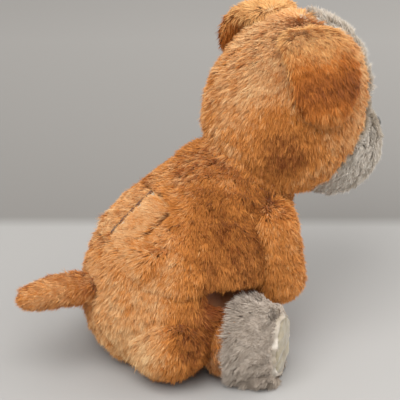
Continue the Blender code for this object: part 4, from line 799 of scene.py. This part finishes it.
class Strands:
    """Grows a coat's strands as bent, tapering ribbons of two triangles.

    A ribbon is 0.6 to 0.8 mm wide and stands for a lock of real fibres, which are finer than 0.1 mm.
    """

    MAP_LENGTH = 0.12  # how much of the map's height a strand takes
    MAP_WIDTH = 0.008  # how much of the map's width a strand takes, round its tone
    PER_PIECE = 90000  # strands in one object
    BURIED = 0.0025  # a root that has another soft node this near in front of it grows nothing
    LEAST_HEIGHT = 0.002  # how far above the floor the pile starts
    TUFT_STRAY, STRAY = 0.20, 0.28  # how far a tuft, and a strand in it, strays from the comb
    TUFT_TILT, TILT = 6, 7  # how their lean varies, in degrees
    TUFT_GROWTH, GROWTH = 0.09, 0.12  # how their length varies, as a share
    TUFT_TINT, TINT = 0.05, 0.07  # how their tone varies
    GATHER = 0.35  # how far tips may be drawn to their tuft's middle
    LEAN_LIMITS = (0.15, 1.45)  # in radians
    LENGTH_LIMITS = (0.35, 1.5)  # as shares of the coat's length
    BEND = 0.45  # how far a strand's lower half leans, as a share of its whole lean
    ROLL = 0.5  # how far a ribbon turns about itself, in radians

    def __init__(self, skin: Skin, coat: Coat, seed: int):
        """Keeps what the strands grow from.

        Args:
            skin: The skin, already built.
            coat: The coat to grow.
            seed: Makes each coat differ.
        """
        self.skin = skin
        self.coat = coat
        self.chance = np.random.default_rng(SEED + seed)

    def build(self, material: bpy.types.Material) -> list[bpy.types.Object]:
        """Grows the strands and lets them ride with the skin.

        Args:
            material: The pile's material.

        Returns:
            The objects that hold the strands.
        """
        roots, normals = self._roots()
        if not len(roots):
            return []
        tips, middles, side, tone = self._shape(roots, normals)
        pieces = []
        batches = math.ceil(len(roots) / self.PER_PIECE)
        for index in range(batches):
            part = slice(index, None, batches)
            mesh = self._mesh(roots[part], middles[part], tips[part], side[part], tone[part])
            mesh.materials.append(material)
            piece = add_object(f"{self.skin.nodes[0]}_pile_{index + 1}", mesh)
            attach(piece, self.skin.piece["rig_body"])
            pieces.append(piece)
        return pieces

    def _roots(self) -> tuple[np.ndarray, np.ndarray]:
        """Spreads the roots over the part of the skin that can be seen."""
        surface = Surface(self.skin.piece.data)
        middles, normals = surface.middles()
        weight = surface.areas()
        weight = weight * Skin.open_air(middles, normals, self.skin.own, self.skin.inset)
        weight = weight * ~self.skin.soft.covered(self.skin.nodes, middles + normals * self.BURIED, 0.0)
        weight = weight * (middles[:, 2] > self.LEAST_HEIGHT)
        if self.coat.keep is not None:
            weight = weight * self.coat.keep(middles, normals)
        count = self.coat.strands // 1
        if weight.sum() <= 0:
            return np.zeros((0, 3)), np.zeros((0, 3))
        picks = self.chance.choice(len(weight), size=count, p=weight / weight.sum())
        first, second, third = (corner[picks] for corner in surface.corners())
        across = np.sqrt(self.chance.random((count, 1)))
        along = self.chance.random((count, 1))
        roots = (1 - across) * first + across * (1 - along) * second + across * along * third
        return roots, normals[picks]

    def _shape(self, roots: np.ndarray, normals: np.ndarray) -> tuple[np.ndarray, ...]:
        """Bends the strands: combed, gathered into tufts and drooping a little."""
        coat = self.coat
        chance = self.chance
        count = len(roots)
        tuft = self._tufts(roots)
        tufts = tuft.max() + 1
        combed = along_surface(coat.flow(roots, normals), normals)
        stray = unit(chance.normal(size=(tufts, 3)))[tuft] * self.TUFT_STRAY
        stray = stray + chance.normal(size=(count, 3)) * self.STRAY
        combed = along_surface(combed + stray, normals)
        lean = np.radians(self._varied(coat.lean, self.TUFT_TILT, self.TILT, tuft, tufts))
        lean = np.clip(lean, *self.LEAN_LIMITS)[:, None]
        length = coat.length * self._varied(1, self.TUFT_GROWTH, self.GROWTH, tuft, tufts)
        length = np.clip(length, *(share * coat.length for share in self.LENGTH_LIMITS))[:, None]
        if coat.scale is not None:
            length = length * coat.scale(roots, normals)[:, None]
        heading = unit(normals * np.cos(lean) + combed * np.sin(lean))
        tips = roots + heading * length
        tips[:, 2] -= coat.droop * length[:, 0]
        centre = self._means(tips, tuft, tufts)
        tips += (centre[tuft] - tips) * chance.uniform(0.0, self.GATHER, size=(count, 1))
        rise = unit(normals * np.cos(self.BEND * lean) + combed * np.sin(self.BEND * lean))
        # the bend lies between the straight way and where a stiff lower half would reach
        middles = 0.30 * roots + 0.30 * tips + 0.40 * (roots + rise * 0.62 * length)
        side = unit(np.cross(heading, normals))
        roll = chance.normal(size=(count, 1)) * self.ROLL
        side = unit(side * np.cos(roll) + normals * np.sin(roll))
        tone = self._varied(coat.tone(roots, normals), self.TUFT_TINT, self.TINT, tuft, tufts)
        for group in (roots, middles, tips):
            lift(group)
        return tips, middles, side, np.clip(tone, 0.02, 0.98)

    def _varied(
        self, level: float | np.ndarray, shared: float, own: float, tuft: np.ndarray, tufts: int,
    ) -> np.ndarray:
        """Varies a level from tuft to tuft and from strand to strand.

        Args:
            level: The mean, one for all or one per strand.
            shared: How far the tufts vary.
            own: How far the strands in a tuft vary.
            tuft: The number of each strand's tuft.
            tufts: How many tufts there are.

        Returns:
            One value per strand.
        """
        chance = self.chance
        return level + shared * chance.normal(size=tufts)[tuft] + own * chance.normal(size=len(tuft))

    def _tufts(self, roots: np.ndarray) -> np.ndarray:
        """Gives each root the number of its tuft."""
        cells = np.floor(roots / self.coat.clump).astype(np.int64)
        keys = cells @ np.array([73856093, 19349663, 83492791])  # large primes, so that cells share no key
        _, first, _ = np.unique(keys, return_index=True, return_inverse=True)
        seeds = roots[np.sort(first)]
        tree = KDTree(len(seeds))
        for index, seed in enumerate(seeds.tolist()):
            tree.insert(seed, index)
        tree.balance()
        return np.array([tree.find(root)[1] for root in roots.tolist()])

    @staticmethod
    def _means(points: np.ndarray, group: np.ndarray, groups: int) -> np.ndarray:
        """Returns the mean of the points of every group."""
        count = np.maximum(np.bincount(group, minlength=groups), 1)
        sums = [np.bincount(group, weights=points[:, axis], minlength=groups) for axis in range(3)]
        return np.stack(sums, axis=1) / count[:, None]

    def _mesh(
        self, roots: np.ndarray, middles: np.ndarray, tips: np.ndarray, side: np.ndarray, tone: np.ndarray,
    ) -> bpy.types.Mesh:
        """Makes one mesh of ribbons, widest at the bend and pointed at both ends."""
        count = len(roots)
        half = side * (self.coat.width / 2)
        points = np.stack([roots, middles - half, middles + half, tips], axis=1).reshape(-1, 3)
        start = np.arange(count)[:, None] * 4
        faces = np.concatenate([start + [0, 2, 1], start + [1, 2, 3]], axis=1)
        mesh = bpy.data.meshes.new(f"{self.skin.nodes[0]}_pile")
        mesh.vertices.add(len(points))
        mesh.vertices.foreach_set("co", points.ravel())
        mesh.loops.add(count * 6)
        mesh.loops.foreach_set("vertex_index", faces.ravel())
        mesh.polygons.add(count * 2)
        mesh.polygons.foreach_set("loop_start", np.arange(count * 2) * 3)
        mesh.update()
        low = (tone - self.MAP_WIDTH / 2)[:, None]
        high = (tone + self.MAP_WIDTH / 2)[:, None]
        middle = (low + high) / 2
        across = np.concatenate([middle, high, low, low, high, middle], axis=1)
        heights = np.array([0, 0.5, 0.5, 0.5, 0.5, 1.0]) * self.MAP_LENGTH
        chart = np.stack([across, np.broadcast_to(heights, across.shape)], axis=2)
        layer = mesh.uv_layers.new(name=FUR_MAP)
        layer.uv.foreach_set("vector", chart.ravel())
        mesh.shade_smooth()
        return mesh


# ---------------------------------------------------------------- combing directions and tones


def steady(x: float, y: float, z: float) -> Field:
    """Combs everything the same way."""
    direction = np.array([x, y, z], float)
    return lambda points, normals: np.broadcast_to(direction, points.shape).copy()


def away_from(place: tuple[float, float, float], down: float = 0.0) -> Field:
    """Combs away from a place, and partly down."""
    origin = np.array(place, float)

    def flow(points: np.ndarray, normals: np.ndarray) -> np.ndarray:
        """Points away from the place along the surface."""
        direction = along_surface(points - origin, normals)
        direction[:, 2] -= down
        return direction

    return flow


def patchy(level: float, size: float = 0.05, depth: float = 0.06, seed: int = 1) -> Field:
    """A tone that wanders slowly about a level."""
    return lambda points, normals: level + depth * ripple(points, size, seed)


# ---------------------------------------------------------------- the puppy


@dataclass
class Puppy:
    """The whole toy: skins, coats and the finishes of the mechanism.

    Attributes:
        materials: The materials built so far, by name.
        seed: How many coats have grown so far.
    """

    frame: dict
    materials: dict[str, bpy.types.Material] = field(default_factory=dict)
    seed: int = 0

    SOFT = (
        "torso_plush", "head_plush", "blaze_plush", "muzzle_plush", "chin_plush", "tail_plush",
        "ear_right", "ear_left", "arm_right", "arm_left", "thigh_right", "thigh_left",
        "shin_right", "shin_left", "hind_paw_right", "hind_paw_left", "sole_pad_right", "sole_pad_left",
        "back_flap_right", "back_flap_left", "closure_strip_right", "closure_strip_left",
    )

    BACK = ("torso_plush", "back_flap_right", "back_flap_left", "closure_strip_right", "closure_strip_left")
    FOLD_REACH = 0.007  # how far a flap's fabric runs to each side of its hinge
    TAIL_REACH = 0.009  # how far the tail's skin runs on into the body's pile
    BACK_SLOPE = (0, 0.777, -0.629)  # down the back, where its opening is
    BACK_OUTWARD = (0.0, 0.629, 0.777)  # straight out of the back there
    DOOR_TRAVEL = 0.009  # how far the battery door slides
    DOOR_ROOM = 0.0022  # how much room the pocket for the door has round it
    DOOR_WALL = 0.006  # how far past the door the body's wall thins out again
    HAUNCH_HEIGHT, HAUNCH_SLOPE = 0.077, 0.16  # the fold over the haunch, 10 mm in front of the toy's middle
    HAUNCH_FRONT, HAUNCH_BACK = -0.045, 0.088  # where that fold runs out, along Y
    LAP_PLACE, LAP_HEIGHT = -0.002, 0.0725  # where the dark hollow over the leg has its middle, along Y and Z
    SEAM_TOP, SEAM_LOW = 0.257, 0.175  # the heights at which the head's two seams part and end
    SEAM_SPREAD = 0.53  # how far each one runs to its side on the way down, as a share
    ROOT_GROWTH = 0.45  # how much longer the pile is round the ears' roots, as a share
    ROOT_REACH, ROOT_HEIGHT = 0.007, 0.25  # how far round them it is, and below which height it isn't

    def __post_init__(self) -> None:
        """Finds the soft nodes."""
        self.soft = SoftBody(self.frame, self.SOFT)

    def material(self, finish: FurFinish | ClothFinish | HardFinish) -> bpy.types.Material:
        """Builds a finish's material once."""
        if finish.name not in self.materials:
            self.materials[finish.name] = finish.material()
        return self.materials[finish.name]

    def cover(self, nodes: str | tuple[str, ...], *coats: Coat, **skin_settings) -> list[bpy.types.Object]:
        """Makes the skin of one or more nodes and grows its coats.

        Args:
            nodes: The node's name, or the names of nodes that are sewn into one skin.
            coats: The coats to grow, the main one first.
            skin_settings: Settings of the skin.

        Returns:
            The skin and the objects that hold its strands.
        """
        names = (nodes,) if isinstance(nodes, str) else nodes
        gold = GOLD_CLOTH if "torso_plush" in names else NAPPED_CLOTH
        cloth = CREAM_CLOTH if coats[0].finish in (CREAM_FUR, PAW_FUR) else gold
        skin = Skin(self.soft, names, **skin_settings)
        pieces = [skin.build(self.material(cloth))]
        for coat in coats:
            self.seed += 1
            pieces += Strands(skin, coat, self.seed).build(self.material(coat.finish))
        LOG.info("%s: %d objects", names[0], len(pieces))
        return pieces

    def build(self) -> None:
        """Builds every soft piece and finishes every hard one."""
        self.build_body()
        self.build_head()
        for side in SIDES:
            self.build_ear(side)
            self.build_arm(side)
            self.build_hind_leg(side)
            self.build_flap(side)
        self.build_tail()
        self.finish_hard_nodes()

    def build_body(self) -> None:
        """The body with its thighs and shins, which are sewn on and stay put, combed down and back."""
        self.cover(("torso_plush", "thigh_right", "thigh_left", "shin_right", "shin_left"), Coat(
            GOLD_FUR, self.body_flow, self.body_tone, strands=278000, scale=self.body_scale,
            keep=lambda points, normals: (self.past_the_door(points) > self.DOOR_ROOM).astype(float),
        ), voxel=0.0022, smoothing=7, lumps=0.0010, creases=0.0020, relief=self.haunch_fold,
            ignored=self.BACK, spared=self.by_the_door, settle=self.door_pocket)

    def past_the_door(self, points: np.ndarray) -> np.ndarray:
        """Gives how far each place lies from where the battery door slides."""
        low, high = box_of("battery_door")
        low = low - np.array([self.DOOR_TRAVEL, 0, 0])
        return past_box(points, low, high)

    def by_the_door(self, points: np.ndarray, normals: np.ndarray) -> np.ndarray:
        """Gives 1 where the body's wall must stay full, so that the battery door has room behind it."""
        return np.clip(1.6 - self.past_the_door(points) / self.DOOR_WALL, 0, 1)

    def door_pocket(self, points: np.ndarray, normals: np.ndarray) -> np.ndarray:
        """Opens the pocket that the battery door slides into, which is too narrow for the even mesh."""
        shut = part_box("battery_door")[0].x
        lap, spare = 0.0015, 0.0016  # how far the pocket reaches over the shut door, and past the open one
        points = points.copy()
        inner = (points[:, 0] < shut + lap) & (normals[:, 0] > -0.25)
        points[inner & (self.past_the_door(points) < self.DOOR_ROOM), 0] = shut - self.DOOR_TRAVEL - spare
        return points

    @staticmethod
    def haunch_line(points: np.ndarray, normals: np.ndarray) -> tuple[np.ndarray, np.ndarray]:
        """Gives the height above the fold over the haunch, and how much a place is on the body's side."""
        height = points[:, 2] - (Puppy.HAUNCH_HEIGHT + Puppy.HAUNCH_SLOPE * (points[:, 1] + 0.01))
        side = sideways(normals, 2.0, 0.4) * (np.abs(points[:, 0]) > 0.03)
        side *= gate(Puppy.HAUNCH_BACK - points[:, 1], 0.02) * gate(points[:, 1] - Puppy.HAUNCH_FRONT, 0.015)
        return height, side

    def haunch_fold(self, points: np.ndarray, normals: np.ndarray) -> np.ndarray:
        """Draws in the fold between the body and the haunch, and lets the haunch swell below it."""
        height, side = self.haunch_line(points, normals)
        height = height + 0.004 * ripple(points, 0.05, 51)
        deep = gate(0.030 - points[:, 1], 0.03)
        fold = (0.0030 + 0.0040 * deep) * bell(height, 0.0050 + 0.003 * deep)
        swell = 0.0030 * bell(height + 0.024, 0.016)
        return side * (fold - swell) + 0.011 * self.lap_hollow(points)

    @staticmethod
    def lap_hollow(points: np.ndarray) -> np.ndarray:
        """Gives 1 in the dark hollow between the belly and the leg, and 0 well away from it."""
        share = bell(points[:, 1] - Puppy.LAP_PLACE, 0.019) * bell(points[:, 2] - Puppy.LAP_HEIGHT, 0.0060)
        return share * np.clip(2.0 * np.abs(points[:, 0]) / 0.05 - 1.0, 0, 1)

    def body_scale(self, points: np.ndarray, normals: np.ndarray) -> np.ndarray:
        """Shorter pile over the hollow, so that it stays open, and under the paws' fringe."""
        raised = points - np.array([0, 0, 0.008])
        hollow = np.clip(self.lap_hollow(raised) + self.lap_hollow(points), 0, 1)
        return (1 - 0.65 * hollow) * (1 - 0.6 * bell(self.nearer("hind_paw", points, 0.02), 0.007))

    def nearer(self, pair: str, points: np.ndarray, reach: float) -> np.ndarray:
        """Gives how far each place lies from the nearer of two soft nodes, such as the ears."""
        return np.minimum(*(self.soft.distance(f"{pair}_{side}", points, reach) for side in SIDES))

    @staticmethod
    def on_shin(points: np.ndarray) -> np.ndarray:
        """Gives 1 on the shins and 0 well away from them."""
        share = np.zeros(len(points))
        for side in SIDES:
            low, high = box_of(f"shin_{side}")
            share = np.maximum(share, np.clip(1 - past_box(points, low, high) / 0.008, 0, 1))
        return share

    def body_flow(self, points: np.ndarray, normals: np.ndarray) -> np.ndarray:
        """Down and back, over the edges of the flaps and forward on the shins, with swirls from handling."""
        flow = np.broadcast_to(np.array([0, 0.35, -1.0]), points.shape).copy()
        flow += 0.30 * np.stack([ripple(points, 0.045, seed) for seed in (41, 42, 43)], axis=1)
        inward = np.where(points[:, 0] > 0, -0.35, 1.1)  # over the slit, less from the left
        flow[:, 0] += inward * bell(self.nearer("back_flap", points, 0.03), 0.010)
        forward = np.broadcast_to(np.array([0, -0.7, -0.2]), points.shape).copy()
        forward[:, 0] = 0.6 * np.sign(points[:, 0])
        share = self.on_shin(points)[:, None]
        return flow * (1 - share) + forward * share

    def body_tone(self, points: np.ndarray, normals: np.ndarray) -> np.ndarray:
        """Painted light on the back and painted shade on the flanks, deep on the haunches, and deepest
        painted shade in the fold and the hollow.
        """
        # painted shade on the flanks, which face away from the light
        flank = bell(points[:, 2] - 0.125, 0.035) * bell(points[:, 1] + 0.02, 0.05)
        flank *= sideways(normals, 1.6)
        # painted light on the back, which faces the key lamp
        back = np.clip(normals[:, 1], 0, 1)
        height, side = self.haunch_line(points, normals)
        # painted shade in the fold over the haunch
        fold = side * gate(0.030 - points[:, 1], 0.03) * bell(height, 0.007)
        patches = 0.10 * ripple(points, 0.06, 3) + 0.05 * ripple(points, 0.02, 4)
        haunch = side * bell(height + 0.03, 0.02) * gate(0.07 - points[:, 1], 0.03)
        deep = 0.30 * flank + 0.08 * self.on_shin(points) + 0.45 * fold + 0.24 * haunch
        # painted shade in the hollow between the belly and the leg
        deep += 0.6 * self.lap_hollow(points)
        return 0.46 + 0.24 * back - deep + patches

    def build_head(self) -> None:
        """The head with its blaze, muzzle and chin."""
        low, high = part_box("head_plush")
        crown = (0.0, 0.6 * low.y + 0.4 * high.y, high.z + 0.02)
        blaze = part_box("blaze_plush")
        face = (0.0, blaze[0].y - 0.02, blaze[0].z)

        def pale(points: np.ndarray, normals: np.ndarray) -> np.ndarray:
            """The part of the head round the blaze and the muzzle."""
            reaches = {"blaze_plush": 0.0085, "muzzle_plush": 0.0060}
            near = [self.soft.distance(node, points, reach) < reach for node, reach in reaches.items()]
            return (near[0] | near[1]).astype(float)

        self.cover("head_plush", Coat(
            GOLD_FUR, away_from(crown, down=0.3), self.head_tone, strands=160000, scale=self.ear_root,
            keep=lambda points, normals: 1 - pale(points, normals),
        ), Coat(
            CREAM_FUR, away_from(face), patchy(0.55, seed=6), length=0.0075, strands=24000, lean=58,
            keep=pale,
        ), voxel=0.0025, lumps=0.0006, inset=0.0045,
            relief=lambda points, normals: 0.0014 * self.head_seam(points))
        self.cover("blaze_plush", Coat(
            CREAM_FUR, away_from(face), patchy(0.55, seed=6), length=0.0085, strands=20000,
        ), voxel=0.002, inset=0.004, smoothing=4)
        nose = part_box("nose")[0]
        self.cover("muzzle_plush", Coat(
            CREAM_FUR, away_from((0, nose.y, nose.z + 0.01), down=0.3), patchy(0.6, seed=7), length=0.007,
            strands=44000, lean=52, width=0.0006,
        ), voxel=0.002, inset=0.0030, smoothing=6)
        self.cover("chin_plush", Coat(
            CREAM_FUR, away_from((0, nose.y, nose.z), down=0.2), patchy(0.5, seed=8), length=0.007,
            strands=6000, lean=58,
        ), voxel=0.0015, inset=0.003, smoothing=4)

    @staticmethod
    def head_seam(points: np.ndarray) -> np.ndarray:
        """Gives 1 on the two seams that part on the crown and run down the back of the head."""
        middle = (points[:, 1].min() + points[:, 1].max()) / 2
        path = np.clip(0.004 + Puppy.SEAM_SPREAD * (Puppy.SEAM_TOP - points[:, 2]), 0.002, 0.034)
        share = bell(np.abs(points[:, 0]) - path, 0.0020)
        return share * gate(points[:, 1] - middle, 0.02) * (points[:, 2] > Puppy.SEAM_LOW)

    def ear_root(self, points: np.ndarray, normals: np.ndarray) -> np.ndarray:
        """Longer pile round the roots of the ears, which hides where they are sewn on."""
        near = bell(self.nearer("ear", points, 0.03), self.ROOT_REACH)
        return 1 + self.ROOT_GROWTH * near * (points[:, 2] > self.ROOT_HEIGHT)

    def head_tone(self, points: np.ndarray, normals: np.ndarray) -> np.ndarray:
        """Painted light on the crown and round the ears' roots, a shadow behind the ears, partly painted and
        partly deeper pile, and deeper seams.
        """
        low, high = points[:, 2].min(), points[:, 2].max()
        # the tone rises towards the crown: painted light from above
        rise = gate(points[:, 2] - low, high - low)
        middle = (points[:, 1].min() + points[:, 1].max()) / 2
        # shadow below and behind the ears: partly painted shadow, partly the pile's deeper tone
        painted_ear_shadow = bell(rise - 0.42, 0.20) * bell(points[:, 1] - middle - 0.018, 0.020)
        painted_ear_shadow *= sideways(normals, 1.5)
        patches = 0.07 * ripple(points, 0.05, 5) + 0.04 * ripple(points, 0.018, 8)
        # painted light round the ears' roots, over the shade in the crease there
        rooted = gate(self.ear_root(points, normals) - 1, self.ROOT_GROWTH)
        seam = 0.18 * self.head_seam(points)
        return 0.47 + 0.28 * rise - 0.44 * painted_ear_shadow - seam + 0.4 * rooted + patches

    def build_ear(self, side: str) -> None:
        """A folded ear, combed from the crown to its tip and rooted in the head's pile."""
        outward = OUTWARD[side]
        low, high = box_of(f"ear_{side}")
        inner = low[0] if side == "left" else -high[0]

        def rooted(points: np.ndarray) -> np.ndarray:
            """Draws the root in towards the crown."""
            share = bell(outward * points[:, 0] - inner, 0.010) * (points[:, 2] > high[2] - 0.014)
            points = points.copy()
            points[:, 0] -= outward * 0.005 * share
            return points

        self.cover(f"ear_{side}", Coat(
            EAR_FUR, steady(0.25 * outward, 0, -1), self.ear_tone, length=0.010, strands=42000, lean=60,
        ), voxel=0.0016, inset=0.0022, smoothing=5, reshape=rooted)

    @staticmethod
    def ear_tone(points: np.ndarray, normals: np.ndarray) -> np.ndarray:
        """Deep in the middle of the ear's sides, light round its rim, deeper towards its tip, and lighter at
        its top.
        """
        drop = gate(points[:, 2].max() - points[:, 2], 0.06)
        middle = bell(drop - 0.45, 0.28) * sideways(normals, 1.6, 0.4)
        patches = 0.06 * ripple(points, 0.03, 9)
        # the lift at the top is painted light over the shade where the ear meets the head
        return 0.72 - 0.50 * middle - 0.22 * drop**3 + 0.22 * bell(drop, 0.10) + patches

    def build_arm(self, side: str) -> None:
        """An arm, combed down to its paw."""
        self.cover(f"arm_{side}", Coat(
            GOLD_FUR, steady(0, -0.1, -1), patchy(0.46, seed=11), length=0.0095, strands=36000,
        ), voxel=0.002, inset=0.0045, smoothing=6, contact=0.008)

    def build_hind_leg(self, side: str) -> None:
        """The pale paw: a long fringe where it joins the leg, short nap round the creased, smooth sole."""
        sole = f"sole_pad_{side}"
        shortest = 0.28  # the nap by the sole, as a share of the fringe

        def off_the_sole(points: np.ndarray, normals: np.ndarray) -> np.ndarray:
            """Keeps the pile off the sole."""
            return (self.soft.distance(sole, points, 0.006) > 0.0025).astype(float)

        def fringe(points: np.ndarray, normals: np.ndarray) -> np.ndarray:
            """Short by the sole, and long towards the leg and the floor."""
            distance = self.soft.distance(sole, points, 0.040)
            low = gate(0.022 - points[:, 2], 0.015)
            growth = np.maximum((distance - 0.014) / 0.014, low)
            return np.clip(shortest + (1 - shortest) * growth, shortest, 1)

        self.cover(f"hind_paw_{side}", Coat(
            PAW_FUR, steady(-0.66 * OUTWARD[side], 0.74, -0.6), patchy(0.50, seed=15), length=0.0110,
            strands=46000, keep=off_the_sole, scale=fringe, width=0.0006,
        ), voxel=0.002, inset=0.0032, smoothing=6, relief=self.puckers)
        self.build_sole(side)

    @staticmethod
    def puckers(points: np.ndarray, normals: np.ndarray) -> np.ndarray:
        """The shallow creases that gathering leaves in a paw."""
        return 0.0012 * ripple(points, 0.012, 22) + 0.0006 * ripple(points, 0.006, 21)

    def build_sole(self, side: str) -> None:
        """A smooth sewn pad with one deep crease across it and puckers towards its seam."""
        node = f"sole_pad_{side}"
        skin = Skin(self.soft, (node,), inset=0.0004, voxel=0.0012, smoothing=6, fill=0.7)
        piece = skin.build(self.material(SOLE_CLOTH))
        surface = Surface(piece.data)
        low, high = box_of(node)
        middle = (low + high) / 2
        reach = np.linalg.norm((surface.points - middle) / ((high - low) / 2), axis=1)
        across = (surface.points - middle) @ unit(np.array([[0.45 * OUTWARD[side], -0.40, 0.80]]))[0]
        crease = 0.0022 * bell(across, 0.0035) * np.clip(1.4 - reach, 0, 1)
        folds = self.puckers(surface.points, surface.normals) * (0.25 + 0.6 * np.clip(reach - 0.45, 0, 1))
        points = surface.points - surface.normals * (folds + crease)[:, None]
        lift(points)
        move(piece.data, points)

    def build_flap(self, side: str) -> None:
        """A flap of the back opening, whose fabric runs on over its hinge, and the tape along its edge."""
        node = f"back_flap_{side}"
        low, high = box_of(node)
        outward = OUTWARD[side]
        hinge = high[0] if side == "left" else -low[0]
        slope, outside = np.array(self.BACK_SLOPE), np.array(self.BACK_OUTWARD)
        rim = 0.004  # how wide the flap's rim is that gets drawn out
        dips = (0.0044, 0.0020)  # how far the fabric dips under the body's pile, at the hinge and at the ends

        def widened(points: np.ndarray) -> np.ndarray:
            """Lets the edges reach over the body's skin, all but the one at the slit."""
            share = gate(outward * points[:, 0] - hinge + rim, rim)
            along = points @ slope
            middle = (along.min() + along.max()) / 2
            half = (along.max() - along.min()) / 2
            ends = np.sign(along - middle) * gate(np.abs(along - middle) - half + rim, rim)
            points = points + np.outer(ends * self.FOLD_REACH, slope)
            points[:, 0] += outward * self.FOLD_REACH * share
            return points - np.outer(dips[0] * share + dips[1] * np.abs(ends), outside)

        def stroked(points: np.ndarray, normals: np.ndarray) -> np.ndarray:
            """The body's comb, stroked to the left on the left flap."""
            return self.body_flow(points, normals) + np.array([0.9 if side == "left" else 0.0, 0, 0])

        # the flaps' tone is the body's made a little lighter: painted light over the shade on the flaps' pile
        pieces = self.cover(node, Coat(
            GOLD_FUR, stroked, lambda points, normals: self.body_tone(points, normals) + 0.05,
            strands=26000, keep=lambda points, normals: (normals @ outside > 0.3).astype(float),
        ), voxel=0.0015, inset=0.0050, smoothing=3, reshape=widened, toward=self.BACK_OUTWARD,
            ignored=self.BACK)
        for piece in pieces:
            piece.parent = None
            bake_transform(piece)
        tape = CREAM_TAPE if side == "right" else BROWN_TAPE
        strip = Skin(self.soft, (f"closure_strip_{side}",), inset=0.0001, voxel=0.0006, smoothing=3, fill=0.2)
        strip.build(self.material(tape))

    def build_tail(self) -> None:
        """The tail, combed to its tip, with its root in the body's pile."""
        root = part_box("tail_plush")[0].y

        def rooted(points: np.ndarray) -> np.ndarray:
            """Draws the root end in towards the body."""
            share = gate(root + 0.006 - points[:, 1], 0.006)
            points = points.copy()
            points[:, 1] -= self.TAIL_REACH * share
            return points

        self.cover("tail_plush", Coat(
            GOLD_FUR, steady(0, 1, -0.05), patchy(0.60, seed=17), length=0.0105, strands=30000, lean=55,
        ), voxel=0.002, smoothing=6, inset=0.0035, reshape=rooted)

    def finish_hard_nodes(self) -> None:
        """Gives each hard node its finish."""
        for name, nodes in HARD_NODES.items():
            material = self.material(HARD_FINISHES[name])
            for node in nodes:
                for slot in self.frame["nodes"][node].material_slots:
                    slot.material = material


# ---------------------------------------------------------------- studio


@dataclass
class Studio:
    """The floor, the backdrop, the lights and the camera.

    Attributes:
        azimuth: Where the camera stands, from the toy's front round by its left, in degrees.
        elevation: How high the camera stands, in degrees.
        distance: How far the camera is from its target.
        lens: The camera's focal length in mm.
        target: The place at which the camera looks.
        horizon: How far behind the toy the floor turns into the backdrop.
        lamp_distance: How far the lamps are from the toy.
        ambience: The linear colour of the light from all round.
        ambience_strength: How strong that light is.
    """

    azimuth: float = 245.0
    elevation: float = 26.0
    distance: float = 1.3
    lens: float = 140.0
    target: tuple[float, float, float] = (0.0, -0.006, 0.133)
    horizon: float = 0.225
    lamp_distance: float = 1.6
    ambience: tuple[float, float, float] = (0.9, 0.88, 0.86)
    ambience_strength: float = 0.55

    def build(self) -> None:
        """Sets up the whole studio."""
        self.add_floor()
        self.add_lights()
        self.add_camera()
        scene = bpy.context.scene
        scene.view_settings.view_transform = "Standard"
        world = bpy.data.worlds.new("studio")
        scene.world = world
        world.use_nodes = True
        backdrop = world.node_tree.nodes["Background"]
        connect(world.node_tree, backdrop, {"Color": (*self.ambience, 1), "Strength": self.ambience_strength})

    def add_floor(self) -> None:
        """A plain pale floor, flat for every view, that takes the backdrop's tone behind the toy, with
        painted shade darkest at the backdrop's foot.
        """
        depth = 0.75  # how far behind the toy the backdrop's tone has risen to its top
        blur = 0.015  # half of how softly the floor turns into it, as a share of that depth
        away = -bearing(self.azimuth, self.elevation)
        away.z = 0
        away.normalize()
        work = bmesh.new()
        bmesh.ops.create_grid(work, x_segments=1, y_segments=1, size=4.0)
        mesh = bpy.data.meshes.new("studio_floor")
        work.to_mesh(mesh)
        work.free()
        floor = add_object("studio_floor", mesh)
        material, tree, shader = shader_of("matt paper")
        place = add_node(tree, "ShaderNodeTexCoord").outputs["Object"]
        reach = add_node(tree, "ShaderNodeVectorMath", {0: place, 1: away}, operation="DOT_PRODUCT")
        share = add_node(tree, "ShaderNodeMapRange", {"Value": reach.outputs["Value"], "From Max": depth})
        edge = self.horizon / depth
        # the backdrop's painted shade: darkest where it meets the floor, lightening towards its top
        tone = ramp(tree, share.outputs["Result"], (edge - blur, Tone.FLOOR), (edge + blur, Tone.WALL_PAINTED_SHADE),
                    (1.0, Tone.WALL_TOP_PAINTED_LIGHT))
        connect(tree, shader, {"Base Color": tone, "Roughness": 0.95})
        mesh.materials.append(material)

    def add_lights(self) -> None:
        """A broad key from above the camera's left, a softer fill and a weak light on the face."""
        for name, azimuth, elevation, power, size in (  # in degrees, watts and metres
            ("key", 222.0, 58.0, 22.0, 1.2),
            ("fill", 318.0, 38.0, 10.5, 1.6),
            ("front", 10.0, 40.0, 8.0, 1.6),
        ):
            light = bpy.data.lights.new(name, "AREA")
            light.energy = power
            light.size = size
            stand_off(add_object(name, light), (0, 0, 0), bearing(azimuth, elevation), self.lamp_distance)

    def add_camera(self) -> None:
        """A long lens behind the toy's right side."""
        data = bpy.data.cameras.new("camera")
        data.lens = self.lens
        data.clip_start = 0.05
        camera = add_object("camera", data)
        stand_off(camera, self.target, bearing(self.azimuth, self.elevation), self.distance)
        bpy.context.scene.camera = camera


def main() -> None:
    """Builds the studio and the puppy."""
    logging.basicConfig(level=logging.INFO, format="%(name)s: %(message)s")
    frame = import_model()
    Studio().build()
    Puppy(frame).build()


if __name__ == "__main__":
    main()
